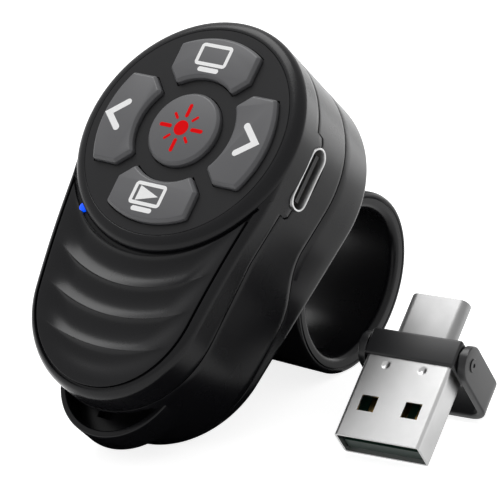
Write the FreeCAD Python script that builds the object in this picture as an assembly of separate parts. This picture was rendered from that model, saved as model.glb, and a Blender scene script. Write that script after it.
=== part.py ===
import FreeCAD, Part
import math
import os

# A wireless presentation clicker worn on a finger, with its two-ended plug-in receiver.
# The clicker is modelled with its key plate's face on z = 0, x to the right and y towards the head,
# then tilted until it rests on its finger ring and tail. All sizes are in millimetres.

V = FreeCAD.Vector
X_AXIS = V(1, 0, 0)
Y_AXIS = V(0, 1, 0)
Z_AXIS = V(0, 0, 1)

# Body outline: the hull of a head circle and a tail circle, the head as wide as its plate and bezel
PLATE_RADIUS = 15.0
PLATE_THICKNESS = 1.2
BEZEL_WIDTH = 1.8
HEAD_RADIUS = PLATE_RADIUS + BEZEL_WIDTH
TAIL_RADIUS = 13.66
TAIL_OFFSET = 22.7
TAIL_END = TAIL_OFFSET + TAIL_RADIUS
WALL = 1.8
BACK_EDGE_ROUND = 1.2
OVERRUN = 2.0
SEAT_GAP = 0.05
RUNNING_GAP = 0.3

# Top surface: flat over the head, then a long arc down to the tail
RIM_DROP = 1.07
CROWN_START = 12.1
CROWN_RADIUS = 114.7
RIM_WIDTH = 1.2
ROOF_THICKNESS = 2.6

# Bezel round the key plate: level with its face, its outer shoulder rounded down to a narrow groove
SHOULDER_START_SHARE = 0.06
SHOULDER_MIDDLE_SHARES = (0.72, 0.29)
SHOULDER_FALL = 1.4
BEZEL_GROOVE_WIDTH = 0.45
BEZEL_GROOVE_DEPTH = 0.6
FIRST_CREST_MARGIN = 0.6
FIRST_CREST_RADIUS = HEAD_RADIUS + FIRST_CREST_MARGIN
LEDGE_WIDTH = 0.7
LEDGE_RADIUS = PLATE_RADIUS - LEDGE_WIDTH
LEDGE_THICKNESS = 1.2

# Thumb grip: scoops between crests that are concentric with the key plate
SCOOP_WIDTH = 4.19
SCOOP_COUNT = 4
CREST_RADII = tuple(FIRST_CREST_RADIUS + i * SCOOP_WIDTH for i in range(SCOOP_COUNT + 1))
SCOOP_DEPTH = 0.9
SCOOP_SAG = 0.25
SCOOP_RUN_OUT = 0.08

# Parting lines: the upper as depths below the key plate's face, the lower as heights above the back
UPPER_PARTING_DEPTH = 4.66
UPPER_PARTING_BEND = 13.8
UPPER_PARTING_TAIL_DEPTH = 8.4
LOWER_PARTING_HEIGHT = 7.1
LOWER_PARTING_HIGH_Y = -10.0
LOWER_PARTING_MID_Y = -15.5
LOWER_PARTING_MID_HEIGHT = 2.9
LOWER_PARTING_TAIL_HEIGHT = 1.0
GROOVE_WIDTH = 0.16
GROOVE_DEPTH = 0.35

# Push buttons
CENTRE_BUTTON_RADIUS = 5.26
BUTTON_SPACING = 2.31
PLATE_MARGIN = 1.54
ARC_BUTTON_HALF_WIDTH = 6.48
ARC_BUTTON_OUTER_RADIUS = PLATE_RADIUS - PLATE_MARGIN
ARC_BUTTON_INNER_RADIUS = CENTRE_BUTTON_RADIUS + BUTTON_SPACING
ARC_BUTTON_SLANT = 1.59
BUTTON_RISE = 0.86
BUTTON_BEVEL = 0.4
BUTTON_CORNER = 0.5
BUTTON_GAP = 0.15
BUTTON_TRAVEL = 0.5
FLANGE_GROW = 0.5
FLANGE_THICKNESS = 0.7
STEM_RADIUS = 0.9
STEM_INSET = 1.03
STEM_OFFSET = ARC_BUTTON_INNER_RADIUS + STEM_INSET

# Circuit board and tact switches
BOARD_TOP_DEPTH = 5.9
BOARD_THICKNESS = 1.0
BOARD_MARGIN = 0.5
BOARD_TAIL_REACH = 2.3
BOARD_TAIL_Y = -TAIL_OFFSET - BOARD_TAIL_REACH
BOARD_LEDGE_WIDTH = 1.6
BOARD_LEDGE_THICKNESS = 1.2
SWITCH_SIDE = 2.8
SWITCH_HEIGHT = 1.5
SWITCH_FLOOR = 0.15
PLUNGER_RADIUS = 0.75
PLUNGER_PROUD = 0.5
RADIO_CHIP = (5.0, 5.0, 0.9)
RADIO_CHIP_PLACE_SHARES = (-0.24, -0.48)
CHARGE_CHIP = (3.0, 3.0, 0.8)
CHARGE_CHIP_PLACE_SHARES = (0.36, -0.77)
CRYSTAL = (3.2, 2.5, 0.8)
CRYSTAL_PLACE_SHARES = (-0.24, -0.86)

# Status lamp, at the bezel's outer edge
LAMP_ANGLE_DEGREES = 229.1
LAMP_INSET = 0.54
LAMP_X = (FIRST_CREST_RADIUS - LAMP_INSET) * math.cos(math.radians(LAMP_ANGLE_DEGREES))
LAMP_Y = (FIRST_CREST_RADIUS - LAMP_INSET) * math.sin(math.radians(LAMP_ANGLE_DEGREES))
LAMP_RADIUS = 0.6
LAMP_PROUD = 0.15
LED_SIZE = (1.6, 0.8, 0.6)

# Charging port in the right wall
PORT_Y = -0.55
PORT_BELOW_BOARD_TOP = 0.27
PORT_DEPTH = BOARD_TOP_DEPTH + PORT_BELOW_BOARD_TOP
PORT_WIDTH = 8.94
PORT_HEIGHT = 3.26
PORT_WALL = 0.3
PORT_FACE_INSET = 0.1
PORT_START = STEM_OFFSET + SWITCH_SIDE / 2 + RUNNING_GAP
PORT_LENGTH = HEAD_RADIUS - PORT_FACE_INSET - PORT_START
TONGUE_WIDTH = 6.7
TONGUE_THICKNESS = 0.7
TONGUE_SETBACK = 0.4
TONGUE_BASE = 1.2
TONGUE_LENGTH = PORT_LENGTH - PORT_WALL - TONGUE_BASE - TONGUE_SETBACK
CONTACT_COUNT = 6
CONTACT_WIDTH = 0.45
CONTACT_THICKNESS = 0.08
CONTACT_SETBACK = 1.3
CONTACT_LENGTH = TONGUE_LENGTH - CONTACT_SETBACK

# Laser pointer, under the board
LASER_HEADROOM = 0.2
LASER_RADIUS = 2.6
LASER_DEPTH = BOARD_TOP_DEPTH + BOARD_THICKNESS + LASER_HEADROOM + LASER_RADIUS
LASER_BORE = 2.1
LASER_LENGTH = 10.6
LASER_FRONT_INSET = 1.2
LASER_FRONT_Y = HEAD_RADIUS - LASER_FRONT_INSET
LASER_REAR_Y = LASER_FRONT_Y - LASER_LENGTH
LASER_LENS_THICKNESS = 1.0
LASER_LENS_SETBACK = 0.8
LASER_BOARD_THICKNESS = 0.8
LASER_EXIT_RADIUS = 1.7
LASER_WINDOW_THICKNESS = 0.6
SADDLE_SETBACK = 3.0
SADDLE_Y = LASER_REAR_Y + SADDLE_SETBACK
SADDLE_LENGTH = 2.5
SADDLE_HALF_WIDTH = 3.3

# Battery, behind the laser
BATTERY_SIZE = (20.0, 26.0, 4.5)
LEAD_ROOM = 1.7
BATTERY_FRONT_Y = LASER_REAR_Y - LASER_BOARD_THICKNESS - LEAD_ROOM
BATTERY_HEADROOM = 2.1
BATTERY_TOP_DEPTH = BOARD_TOP_DEPTH + BOARD_THICKNESS + BATTERY_HEADROOM
BATTERY_ROUND = 1.2
CRADLE_WIDTH = 1.5
CRADLE_INSET = 5.5
LEAD_RADIUS = 0.4
LEAD_SPACING = 2.0
LEAD_REACH = 1.2

# The body is as deep as its stack of board, battery, screw heads and back wall
SCREW_HEAD_HEIGHT = 1.0
SCREW_HEAD_ROOM = 3.0
BODY_DEPTH = BATTERY_TOP_DEPTH + BATTERY_SIZE[2] + SCREW_HEAD_ROOM + SCREW_HEAD_HEIGHT + WALL

# Case screws, driven from the back
HEAD_SCREW_ANGLE_DEGREES = 41.8
HEAD_SCREW_INSET = 1.05
TAIL_SCREW_ANGLE_DEGREES = -41.2
TAIL_SCREW_INSET = 2.29
BOSS_RADIUS = 2.0
BOSS_SPLIT_DEPTH = 8.6
SCREW_RADIUS = 0.8
SCREW_CLEAR_RADIUS = 1.0
SCREW_HEAD_RADIUS = 1.6
SCREW_RECESS_RADIUS = 1.8
SCREW_RECESS_DEPTH = 1.3
SCREW_TIP_DEPTH = 6.6

# Finger ring under the back
RING_CENTRE_Y = -3.7
RING_DROP = 12.7
RING_CENTRE_DEPTH = BODY_DEPTH + RING_DROP
RING_OUTER_HALF = 12.55
RING_OUTER_LOW = 10.87
RING_INNER_HALF = 10.17
RING_INNER_LOW = 8.25
RING_INNER_HIGH = 10.1
RING_BAND = 22.2
RING_LIP_ROUND = 0.8
RING_BEAD_ROUND = 0.5
RING_FOOT_HALF = 7.0
RING_SCREW_X = 7.5
RING_SCREW_OFFSET_Y = 5.2
RING_SCREW_LENGTH = 3.2

# Lanyard loop at the tail
LOOP_RADIUS = 9.2
LOOP_THICKNESS = 0.9
LOOP_REACH = 3.24
LOOP_TOP_DEPTH = 9.2
LOOP_HEIGHT = 4.1
LOOP_END_INSET = 4.56
LOOP_END_Y = -TAIL_END + LOOP_END_INSET
LOOP_FLOOR_THICKNESS = 0.8
LOOP_FLOOR_INSET = 0.2
LOOP_SLOT = 5.0
CORD_HOLE_HALF = 3.2
LOOP_RECESS_MARGIN = 0.6
LOOP_BACKING = 1.4

# Receiver: a block with a large plug in front, a small plug behind and a swing bail
BLOCK_WIDTH = 12.8
BLOCK_LENGTH = 3.9
BLOCK_HEIGHT = 5.3
BLOCK_BEVEL = 0.35
BLOCK_POCKET = 0.95
PLUG_A_WIDTH = 12.0
PLUG_A_HEIGHT = 4.5
PLUG_A_REACH = 12.0
PLUG_A_WALL = 0.3
PLUG_A_ROUND = 0.45
PLUG_A_TONGUE = (11.1, 1.9)
PLUG_A_TONGUE_SETBACK = 0.6
PLUG_A_CONTACT = (1.1, 6.5, 0.12)
PLUG_A_CONTACT_SPACING = 2.25
WINDOW_SIDE = 2.3
WINDOW_OFFSET = 3.1
WINDOW_REACH = 7.0
PLUG_C_WIDTH = 8.25
PLUG_C_HEIGHT = 2.4
PLUG_C_REACH = 6.65
PLUG_C_WALL = 0.3
PLUG_C_LINER = 0.45
PLUG_C_LINER_SETBACK = 0.3
RECEIVER_BOARD = (7.4, 0.6)
BAIL_WIDTH = 4.9
BAIL_THICKNESS = 1.1
BAIL_REACH = 10.0
BAIL_ROUND = 2.6
BAIL_GAP = 0.15
PIN_RADIUS = 0.9
PIN_GAP = 0.05
PIN_DEPTH = 1.2
PIN_PROUD = 0.15
RECEIVER_X = 29.4
RECEIVER_Y = 7.4
RECEIVER_YAW = 8.4


def move(shape, x=0, y=0, z=0):
    shape.translate(V(x, y, z))
    return shape


def box(size_x, size_y, size_z, x=0, y=0, z=0):
    """Box centred on x and y, standing on z."""
    return Part.makeBox(size_x, size_y, size_z, V(x - size_x / 2, y - size_y / 2, z))


def rod(radius, length, x=0, y=0, z=0, along=Z_AXIS):
    return Part.makeCylinder(radius, length, V(x, y, z), along)


def fuse(first, *others):
    return first.multiFuse(list(others)).removeSplitter()


def line(start, end):
    return Part.LineSegment(start, end).toShape()


def arc(start, middle, end):
    return Part.Arc(start, middle, end).toShape()


def solid_from(edges, along):
    return Part.Face(Part.Wire(edges)).extrude(along)


def hull_prism(inset, z_low, z_high):
    """Hull of the head and tail circles, drawn in by inset, between two heights."""
    head = HEAD_RADIUS - inset
    tail = TAIL_RADIUS - inset
    slope = (HEAD_RADIUS - TAIL_RADIUS) / TAIL_OFFSET
    reach = math.sqrt(1 - slope ** 2)
    right_head = V(head * reach, -head * slope, z_low)
    left_head = V(-head * reach, -head * slope, z_low)
    right_tail = V(tail * reach, -TAIL_OFFSET - tail * slope, z_low)
    left_tail = V(-tail * reach, -TAIL_OFFSET - tail * slope, z_low)
    edges = [arc(right_head, V(0, head, z_low), left_head), line(left_head, left_tail),
             arc(left_tail, V(0, -TAIL_OFFSET - tail, z_low), right_tail), line(right_tail, right_head)]
    return solid_from(edges, V(0, 0, z_high - z_low))


def crown_height(y):
    """Height of the top surface above a place on the centre line."""
    run = max(0, -y - CROWN_START)
    return -RIM_DROP - CROWN_RADIUS + math.sqrt(CROWN_RADIUS ** 2 - run ** 2)


def crown_region(drop):
    """Everything under the top surface lowered by drop, as one thick slab across the body."""
    half = HEAD_RADIUS + OVERRUN
    far = -TAIL_END - OVERRUN
    radius = CROWN_RADIUS - drop
    centre_z = -RIM_DROP - CROWN_RADIUS
    low = -BODY_DEPTH - OVERRUN

    def arc_point(y):
        run = -y - CROWN_START
        return V(-half, y, centre_z + math.sqrt(radius ** 2 - run ** 2))

    start = arc_point(-CROWN_START)
    middle = arc_point((far - CROWN_START) / 2)
    end = arc_point(far)
    corners = [V(-half, far, low), V(-half, half, low), V(-half, half, start.z)]
    edges = [arc(start, middle, end), line(end, corners[0]), line(corners[0], corners[1]),
             line(corners[1], corners[2]), line(corners[2], start)]
    return solid_from(edges, V(2 * half, 0, 0))


def upper_parting_points(shift):
    """Side view of the cover's parting line, shifted up or down."""
    return [(HEAD_RADIUS + OVERRUN, -UPPER_PARTING_DEPTH + shift),
            (-UPPER_PARTING_BEND, -UPPER_PARTING_DEPTH + shift),
            (-TAIL_END - OVERRUN, -UPPER_PARTING_TAIL_DEPTH + shift)]


def lower_parting_points(shift):
    """Side view of the back cover's parting line, an S that drops towards the tail."""
    low = -BODY_DEPTH + shift
    return [(HEAD_RADIUS + OVERRUN, low + LOWER_PARTING_HEIGHT),
            (LOWER_PARTING_HIGH_Y, low + LOWER_PARTING_HEIGHT),
            (LOWER_PARTING_MID_Y, low + LOWER_PARTING_MID_HEIGHT),
            (-TAIL_END - OVERRUN, low + LOWER_PARTING_TAIL_HEIGHT)]


def region_below(points):
    """Slab across the body under a side view line."""
    half = HEAD_RADIUS + OVERRUN
    low = -BODY_DEPTH - OVERRUN
    outline = [V(-half, y, z) for y, z in points]
    outline += [V(-half, points[-1][0], low), V(-half, points[0][0], low), outline[0]]
    return Part.Face(Part.makePolygon(outline)).extrude(V(2 * half, 0, 0))


def groove(points_of):
    """Thin groove in the outer wall along a parting line."""
    band = region_below(points_of(GROOVE_WIDTH / 2)).cut(region_below(points_of(-GROOVE_WIDTH / 2)))
    skin = hull_prism(-OVERRUN, -BODY_DEPTH, 0).cut(hull_prism(GROOVE_DEPTH, -BODY_DEPTH, 0))
    return band.common(skin)


def body_blank():
    blank = hull_prism(0, -BODY_DEPTH, OVERRUN)
    low_edges = [e for e in blank.Edges if e.BoundBox.ZMax < -BODY_DEPTH + WALL]
    return blank.makeFillet(BACK_EDGE_ROUND, low_edges).common(crown_region(0))


def stadium(width, height, length, x, y, z):
    """Rounded slot shape, width along y and height along z, running along x."""
    round_y = (width - height) / 2
    core = Part.makeBox(length, 2 * round_y, height, V(x, y - round_y, z - height / 2))
    ends = [rod(height / 2, length, x, y + side * round_y, z, X_AXIS) for side in (-1, 1)]
    return fuse(core, *ends)


def bezel():
    """Ring round the plate: flat at its inner edge, then one rounded shoulder down to the wall."""
    inner_high = V(PLATE_RADIUS, 0, 0)
    start = V(PLATE_RADIUS + SHOULDER_START_SHARE * BEZEL_WIDTH, 0, 0)
    middle = V(PLATE_RADIUS + SHOULDER_MIDDLE_SHARES[0] * BEZEL_WIDTH, 0,
               -SHOULDER_MIDDLE_SHARES[1] * SHOULDER_FALL)
    outer = V(HEAD_RADIUS, 0, -SHOULDER_FALL)
    low = V(HEAD_RADIUS, 0, -RIM_DROP - LEDGE_THICKNESS)
    low_inner = V(PLATE_RADIUS, 0, -RIM_DROP - LEDGE_THICKNESS)
    edges = [line(low_inner, inner_high), line(inner_high, start), arc(start, middle, outer),
             line(outer, low), line(low, low_inner)]
    return Part.Face(Part.Wire(edges)).revolve(V(0, 0, 0), Z_AXIS, 360)


def bezel_groove():
    """Room for the bezel, and the narrow groove between its shoulder and the first crest."""
    low = -RIM_DROP - BEZEL_GROOVE_DEPTH
    groove = rod(HEAD_RADIUS + BEZEL_GROOVE_WIDTH, OVERRUN - low, z=low)
    groove = groove.cut(rod(HEAD_RADIUS, OVERRUN - low, z=low))
    room = rod(HEAD_RADIUS, OVERRUN + SHOULDER_FALL, z=-SHOULDER_FALL)
    room = room.cut(rod(PLATE_RADIUS, OVERRUN + SHOULDER_FALL, z=-SHOULDER_FALL))
    return fuse(groove, room)


def scoop(inner, outer):
    """Crescent scoop: a steep wall at the inner crest, then a hollow that rises to the outer crest."""
    top_inner = V(0, -inner, OVERRUN)
    low_inner = V(0, -inner, crown_height(-inner) - SCOOP_DEPTH)
    end = V(0, -outer, crown_height(-outer) + SCOOP_RUN_OUT)
    middle = (low_inner + end) / 2 - V(0, 0, SCOOP_SAG)
    top_outer = V(0, -outer, OVERRUN)
    edges = [line(top_inner, low_inner), arc(low_inner, middle, end), line(end, top_outer),
             line(top_outer, top_inner)]
    tool = Part.Face(Part.Wire(edges)).revolve(V(0, 0, 0), Z_AXIS, 360)
    return tool.common(hull_prism(RIM_WIDTH, -BODY_DEPTH, 2 * OVERRUN))


def screw_places():
    """Two screws beside the laser and two in the tail, each set in from the wall."""
    places = []
    for radius, inset, centre_y, degrees in (
            (HEAD_RADIUS, HEAD_SCREW_INSET, 0, HEAD_SCREW_ANGLE_DEGREES),
            (TAIL_RADIUS, TAIL_SCREW_INSET, -TAIL_OFFSET, TAIL_SCREW_ANGLE_DEGREES)):
        reach = radius - WALL - inset
        angle = math.radians(degrees)
        for side in (-1, 1):
            places.append((side * reach * math.cos(angle), centre_y + reach * math.sin(angle)))
    return places


def port_hole(grow):
    return stadium(PORT_WIDTH + 2 * grow, PORT_HEIGHT + 2 * grow, HEAD_RADIUS,
                   PORT_START, PORT_Y, -PORT_DEPTH)


def top_cover(blank):
    cover = blank.cut(region_below(upper_parting_points(0)))
    for inner, outer in zip(CREST_RADII, CREST_RADII[1:] + (TAIL_END + RIM_WIDTH,)):
        cover = cover.cut(scoop(inner, outer))
    cavity = hull_prism(WALL, -BODY_DEPTH, 0).common(crown_region(ROOF_THICKNESS))
    cover = cover.cut(cavity).cut(bezel_groove())
    cover = cover.fuse(bezel()).removeSplitter()
    cover = cover.cut(rod(LEDGE_RADIUS, BODY_DEPTH, z=-BODY_DEPTH))
    cover = cover.cut(rod(PLATE_RADIUS, BODY_DEPTH, z=-PLATE_THICKNESS))
    inside = hull_prism(WALL + SEAT_GAP, -BODY_DEPTH, 0)
    for x, y in screw_places():
        boss_top = crown_height(y) - ROOF_THICKNESS + SEAT_GAP
        boss = rod(BOSS_RADIUS, boss_top + BOSS_SPLIT_DEPTH, x, y, -BOSS_SPLIT_DEPTH).common(inside)
        boss = boss.cut(rod(LEDGE_RADIUS + SEAT_GAP, BODY_DEPTH, z=-BODY_DEPTH))
        cover = cover.fuse(boss)
    cover = cover.removeSplitter()
    for x, y in screw_places():
        cover = cover.cut(rod(SCREW_RADIUS, BOSS_SPLIT_DEPTH - SCREW_TIP_DEPTH, x, y, -BOSS_SPLIT_DEPTH))
    cover = cover.cut(rod(LAMP_RADIUS + SEAT_GAP, BODY_DEPTH + OVERRUN, LAMP_X, LAMP_Y, -BODY_DEPTH))
    return cover.cut(port_hole(SEAT_GAP)).cut(groove(upper_parting_points))


def loop_slot_front():
    return -TAIL_END - LOOP_REACH + LOOP_THICKNESS + LOOP_SLOT


def loop_strap():
    """Curved strap round the tail, its ends let into the side wall, with a floor at its lower edge."""
    centre_y = -TAIL_END - LOOP_REACH + LOOP_RADIUS
    low = -LOOP_TOP_DEPTH - LOOP_HEIGHT
    band = rod(LOOP_RADIUS, LOOP_HEIGHT, 0, centre_y, low)
    band = band.cut(rod(LOOP_RADIUS - LOOP_THICKNESS, LOOP_HEIGHT, 0, centre_y, low))
    side = 2 * (LOOP_RADIUS + OVERRUN)
    band = band.common(Part.makeBox(side, side, LOOP_HEIGHT, V(-side / 2, LOOP_END_Y - side, low)))
    disc = rod(LOOP_RADIUS, LOOP_FLOOR_THICKNESS, 0, centre_y, low)
    front = loop_slot_front()
    floor = disc.common(Part.makeBox(side, side, LOOP_HEIGHT, V(-side / 2, front - side, low)))
    hole_y = -TAIL_END + LOOP_FLOOR_INSET
    floor = floor.cut(Part.makeBox(2 * CORD_HOLE_HALF, front - hole_y, LOOP_HEIGHT,
                                   V(-CORD_HOLE_HALF, hole_y, low)))
    return fuse(band, floor)


def loop_recess():
    """Hollow in the tail wall behind the strap, which gives a cord its room."""
    centre_y = -TAIL_END - LOOP_REACH + LOOP_RADIUS
    low = -LOOP_TOP_DEPTH - LOOP_HEIGHT - LOOP_RECESS_MARGIN
    height = LOOP_HEIGHT + 2 * LOOP_RECESS_MARGIN
    disc = rod(LOOP_RADIUS - LOOP_THICKNESS, height, 0, centre_y, low)
    side = 2 * LOOP_RADIUS
    return disc.common(Part.makeBox(side, side, height, V(-side / 2, loop_slot_front() - side, low)))


def mid_housing(blank):
    housing = blank.common(region_below(upper_parting_points(0))).cut(region_below(lower_parting_points(0)))
    cavity = hull_prism(WALL, -BODY_DEPTH - OVERRUN, OVERRUN)
    keep_y = loop_slot_front() + LOOP_BACKING
    side = 2 * (TAIL_END + OVERRUN)
    cavity = cavity.common(Part.makeBox(side, side, 2 * side, V(-side / 2, keep_y, -side)))
    ledge = hull_prism(WALL, -BOARD_TOP_DEPTH - BOARD_THICKNESS - BOARD_LEDGE_THICKNESS,
                       -BOARD_TOP_DEPTH - BOARD_THICKNESS)
    ledge = ledge.cut(hull_prism(WALL + BOARD_LEDGE_WIDTH, -BODY_DEPTH, 0))
    ledge = ledge.common(Part.makeBox(side, side, side, V(-side / 2, BOARD_TAIL_Y, -side)))
    housing = fuse(housing.cut(cavity), ledge)
    for x, y in screw_places():
        housing = housing.cut(rod(BOSS_RADIUS + SEAT_GAP, BODY_DEPTH, x, y, -BODY_DEPTH).common(
            hull_prism(WALL, -BODY_DEPTH, 0)))
    housing = housing.cut(loop_recess()).cut(loop_strap())
    barrel = rod(LASER_RADIUS + SEAT_GAP, LASER_FRONT_Y, 0, 0, -LASER_DEPTH, Y_AXIS)
    exit_hole = rod(LASER_EXIT_RADIUS, HEAD_RADIUS + OVERRUN, 0, 0, -LASER_DEPTH, Y_AXIS)
    housing = housing.cut(barrel).cut(exit_hole).cut(port_hole(SEAT_GAP))
    return housing.cut(groove(upper_parting_points)).cut(groove(lower_parting_points))


def back_cover(blank):
    cover = blank.common(region_below(lower_parting_points(0)))
    cover = cover.cut(hull_prism(WALL, -BODY_DEPTH + WALL, 0))
    floor = -BODY_DEPTH + WALL
    inside = hull_prism(WALL + SEAT_GAP, -BODY_DEPTH, 0)
    pieces = []
    for x, y in screw_places():
        pieces.append(rod(BOSS_RADIUS, -BOSS_SPLIT_DEPTH - floor, x, y, floor).common(inside))
    battery_low = -BATTERY_TOP_DEPTH - BATTERY_SIZE[2]
    battery_rear_y = BATTERY_FRONT_Y - BATTERY_SIZE[1]
    for y in (BATTERY_FRONT_Y - CRADLE_INSET, battery_rear_y + CRADLE_INSET):
        pieces.append(box(BATTERY_SIZE[0] - CRADLE_INSET, CRADLE_WIDTH, battery_low - floor, 0, y, floor))
    pieces.append(Part.makeBox(2 * SADDLE_HALF_WIDTH, SADDLE_LENGTH, -LASER_DEPTH - floor,
                               V(-SADDLE_HALF_WIDTH, SADDLE_Y, floor)))
    cover = fuse(cover, *pieces)
    for x, y in screw_places():
        cover = cover.cut(rod(SCREW_CLEAR_RADIUS, BODY_DEPTH, x, y, -BODY_DEPTH))
        cover = cover.cut(rod(SCREW_RECESS_RADIUS, SCREW_RECESS_DEPTH, x, y, -BODY_DEPTH))
    for x, y in ring_screw_places():
        cover = cover.cut(rod(SCREW_CLEAR_RADIUS, WALL, x, y, -BODY_DEPTH))
    cover = cover.cut(rod(LASER_RADIUS + SEAT_GAP, LASER_FRONT_Y, 0, 0, -LASER_DEPTH, Y_AXIS))
    return cover.cut(groove(lower_parting_points))


def case_screws():
    screws = []
    head_z = -BODY_DEPTH + SCREW_RECESS_DEPTH - SCREW_HEAD_HEIGHT
    for x, y in screw_places():
        head = rod(SCREW_HEAD_RADIUS, SCREW_HEAD_HEIGHT, x, y, head_z)
        shank = rod(SCREW_RADIUS, -SCREW_TIP_DEPTH - head_z, x, y, head_z)
        screws.append(head.fuse(shank).removeSplitter())
    return Part.makeCompound(screws)


def ring_screw_places():
    return [(sx * RING_SCREW_X, RING_CENTRE_Y + sy * RING_SCREW_OFFSET_Y) for sx in (-1, 1) for sy in (-1, 1)]


def ring_screws():
    screws = []
    floor = -BODY_DEPTH + WALL
    for x, y in ring_screw_places():
        head = rod(SCREW_HEAD_RADIUS, SCREW_HEAD_HEIGHT, x, y, floor)
        shank = rod(SCREW_RADIUS, RING_SCREW_LENGTH, x, y, floor - RING_SCREW_LENGTH)
        screws.append(head.fuse(shank).removeSplitter())
    return Part.makeCompound(screws)


def half_oval(x, half, rise):
    """Half of an oval in the ring's cross plane: half wide each side, rise up (or down if negative)."""
    centre = V(x, RING_CENTRE_Y, -RING_CENTRE_DEPTH)
    side = centre + V(0, half, 0)
    top = centre + V(0, 0, abs(rise))
    if abs(rise) == half:
        return arc(side, centre + V(0, 0, rise), centre - V(0, half, 0))
    if abs(rise) < half:
        curve = Part.Ellipse(side, top, centre)
        start = 0 if rise > 0 else math.pi
    else:
        curve = Part.Ellipse(top, centre - V(0, half, 0), centre)
        start = -math.pi / 2 if rise > 0 else math.pi / 2
    return Part.ArcOfEllipse(curve, start, start + math.pi).toShape()


def oval_prism(half, rise, fall, length):
    edges = [half_oval(-length / 2, half, rise), half_oval(-length / 2, half, -fall)]
    return solid_from(Part.__sortEdges__(edges), V(length, 0, 0))


def finger_ring():
    """Wide band under the back, round above and flatter below, with a foot that meets the back."""
    outer = oval_prism(RING_OUTER_HALF, RING_OUTER_HALF, RING_OUTER_LOW, RING_BAND)
    foot = Part.makeBox(RING_BAND, 2 * RING_FOOT_HALF, RING_CENTRE_DEPTH - BODY_DEPTH,
                        V(-RING_BAND / 2, RING_CENTRE_Y - RING_FOOT_HALF, -RING_CENTRE_DEPTH))
    ring = outer.fuse(foot).removeSplitter()
    bore = oval_prism(RING_INNER_HALF, RING_INNER_HIGH, RING_INNER_LOW, RING_BAND + 2 * OVERRUN)
    ring = ring.cut(bore)

    def at_end(edge):
        span = edge.BoundBox
        return span.XLength < SEAT_GAP and abs(abs(span.XMin) - RING_BAND / 2) < SEAT_GAP

    def size(edge):
        return edge.BoundBox.YLength

    lips = [e for e in ring.Edges if at_end(e) and abs(size(e) - 2 * RING_INNER_HALF) < SEAT_GAP]
    ring = ring.makeFillet(RING_LIP_ROUND, lips)
    rims = [e for e in ring.Edges if at_end(e) and abs(size(e) - 2 * RING_OUTER_HALF) < SEAT_GAP]
    ring = ring.makeFillet(RING_BEAD_ROUND, rims) if rims else ring
    top = Part.makeBox(RING_BAND + OVERRUN, 2 * TAIL_END, OVERRUN + BODY_DEPTH,
                       V(-(RING_BAND + OVERRUN) / 2, -TAIL_END, -BODY_DEPTH))
    ring = ring.cut(top)
    for x, y in ring_screw_places():
        depth = RING_SCREW_LENGTH - WALL
        ring = ring.cut(rod(SCREW_RADIUS, depth, x, y, -BODY_DEPTH - depth))
    return ring


def arc_button_prism(grow, z_low, z_high):
    """Upper arc button: outer arc, straight sides, slanted shoulders and a hollow inner arc."""
    half = ARC_BUTTON_HALF_WIDTH + grow
    outer = ARC_BUTTON_OUTER_RADIUS + grow
    inner = ARC_BUTTON_INNER_RADIUS - grow
    slant = ARC_BUTTON_SLANT - grow * math.sqrt(2)
    inner_x = (-slant + math.sqrt(2 * inner ** 2 - slant ** 2)) / 2
    outer_y = math.sqrt(outer ** 2 - half ** 2)
    right = [V(half, outer_y, z_low), V(half, half + slant, z_low), V(inner_x, inner_x + slant, z_low)]
    left = [V(-p.x, p.y, p.z) for p in right]
    edges = [arc(left[0], V(0, outer, z_low), right[0]), line(right[0], right[1]),
             line(right[1], right[2]), arc(right[2], V(0, inner, z_low), left[2]),
             line(left[2], left[1]), line(left[1], left[0])]
    return solid_from(edges, V(0, 0, z_high - z_low))


def round_button_prism(grow, z_low, z_high):
    return rod(CENTRE_BUTTON_RADIUS + grow, z_high - z_low, z=z_low)


def button(outline, turn, stem_y):
    """Cap with a bevelled top, a flange under the plate and a stem to its switch."""
    flange_low = -PLATE_THICKNESS - RUNNING_GAP - FLANGE_THICKNESS
    cap = outline(0, flange_low, BUTTON_RISE)
    upright = [e for e in cap.Edges if e.BoundBox.ZLength > BUTTON_RISE and e.BoundBox.XLength < SEAT_GAP
               and len(cap.Edges) > 3]
    cap = cap.makeFillet(BUTTON_CORNER, upright) if upright else cap
    top = [e for e in cap.Edges if e.BoundBox.ZMin > BUTTON_RISE - SEAT_GAP]
    cap = cap.makeChamfer(BUTTON_BEVEL, top)
    flange = outline(FLANGE_GROW, flange_low, flange_low + FLANGE_THICKNESS)
    stem = rod(STEM_RADIUS, flange_low - stem_tip_z(), 0, stem_y, stem_tip_z())
    shape = fuse(cap, flange, stem)
    shape.rotate(V(0, 0, 0), Z_AXIS, turn)
    return shape


def buttons():
    """Each button's outline, its turn in degrees and its stem's distance from the centre."""
    found = {"laser": (round_button_prism, 0, 0)}
    names = ("screen", "previous", "play", "next")
    for i, name in enumerate(names):
        found[name] = (arc_button_prism, 360 * i / len(names), STEM_OFFSET)
    return found


def switch_place(turn, stem_y):
    angle = math.radians(turn)
    return -stem_y * math.sin(angle), stem_y * math.cos(angle)


def stem_tip_z():
    return -BOARD_TOP_DEPTH + SWITCH_HEIGHT + PLUNGER_PROUD


def key_plate():
    plate = rod(PLATE_RADIUS - SEAT_GAP, PLATE_THICKNESS, z=-PLATE_THICKNESS)
    for outline, turn, stem_y in buttons().values():
        opening = outline(BUTTON_GAP, -PLATE_THICKNESS, 0)
        opening.rotate(V(0, 0, 0), Z_AXIS, turn)
        plate = plate.cut(opening)
    return plate


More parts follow.
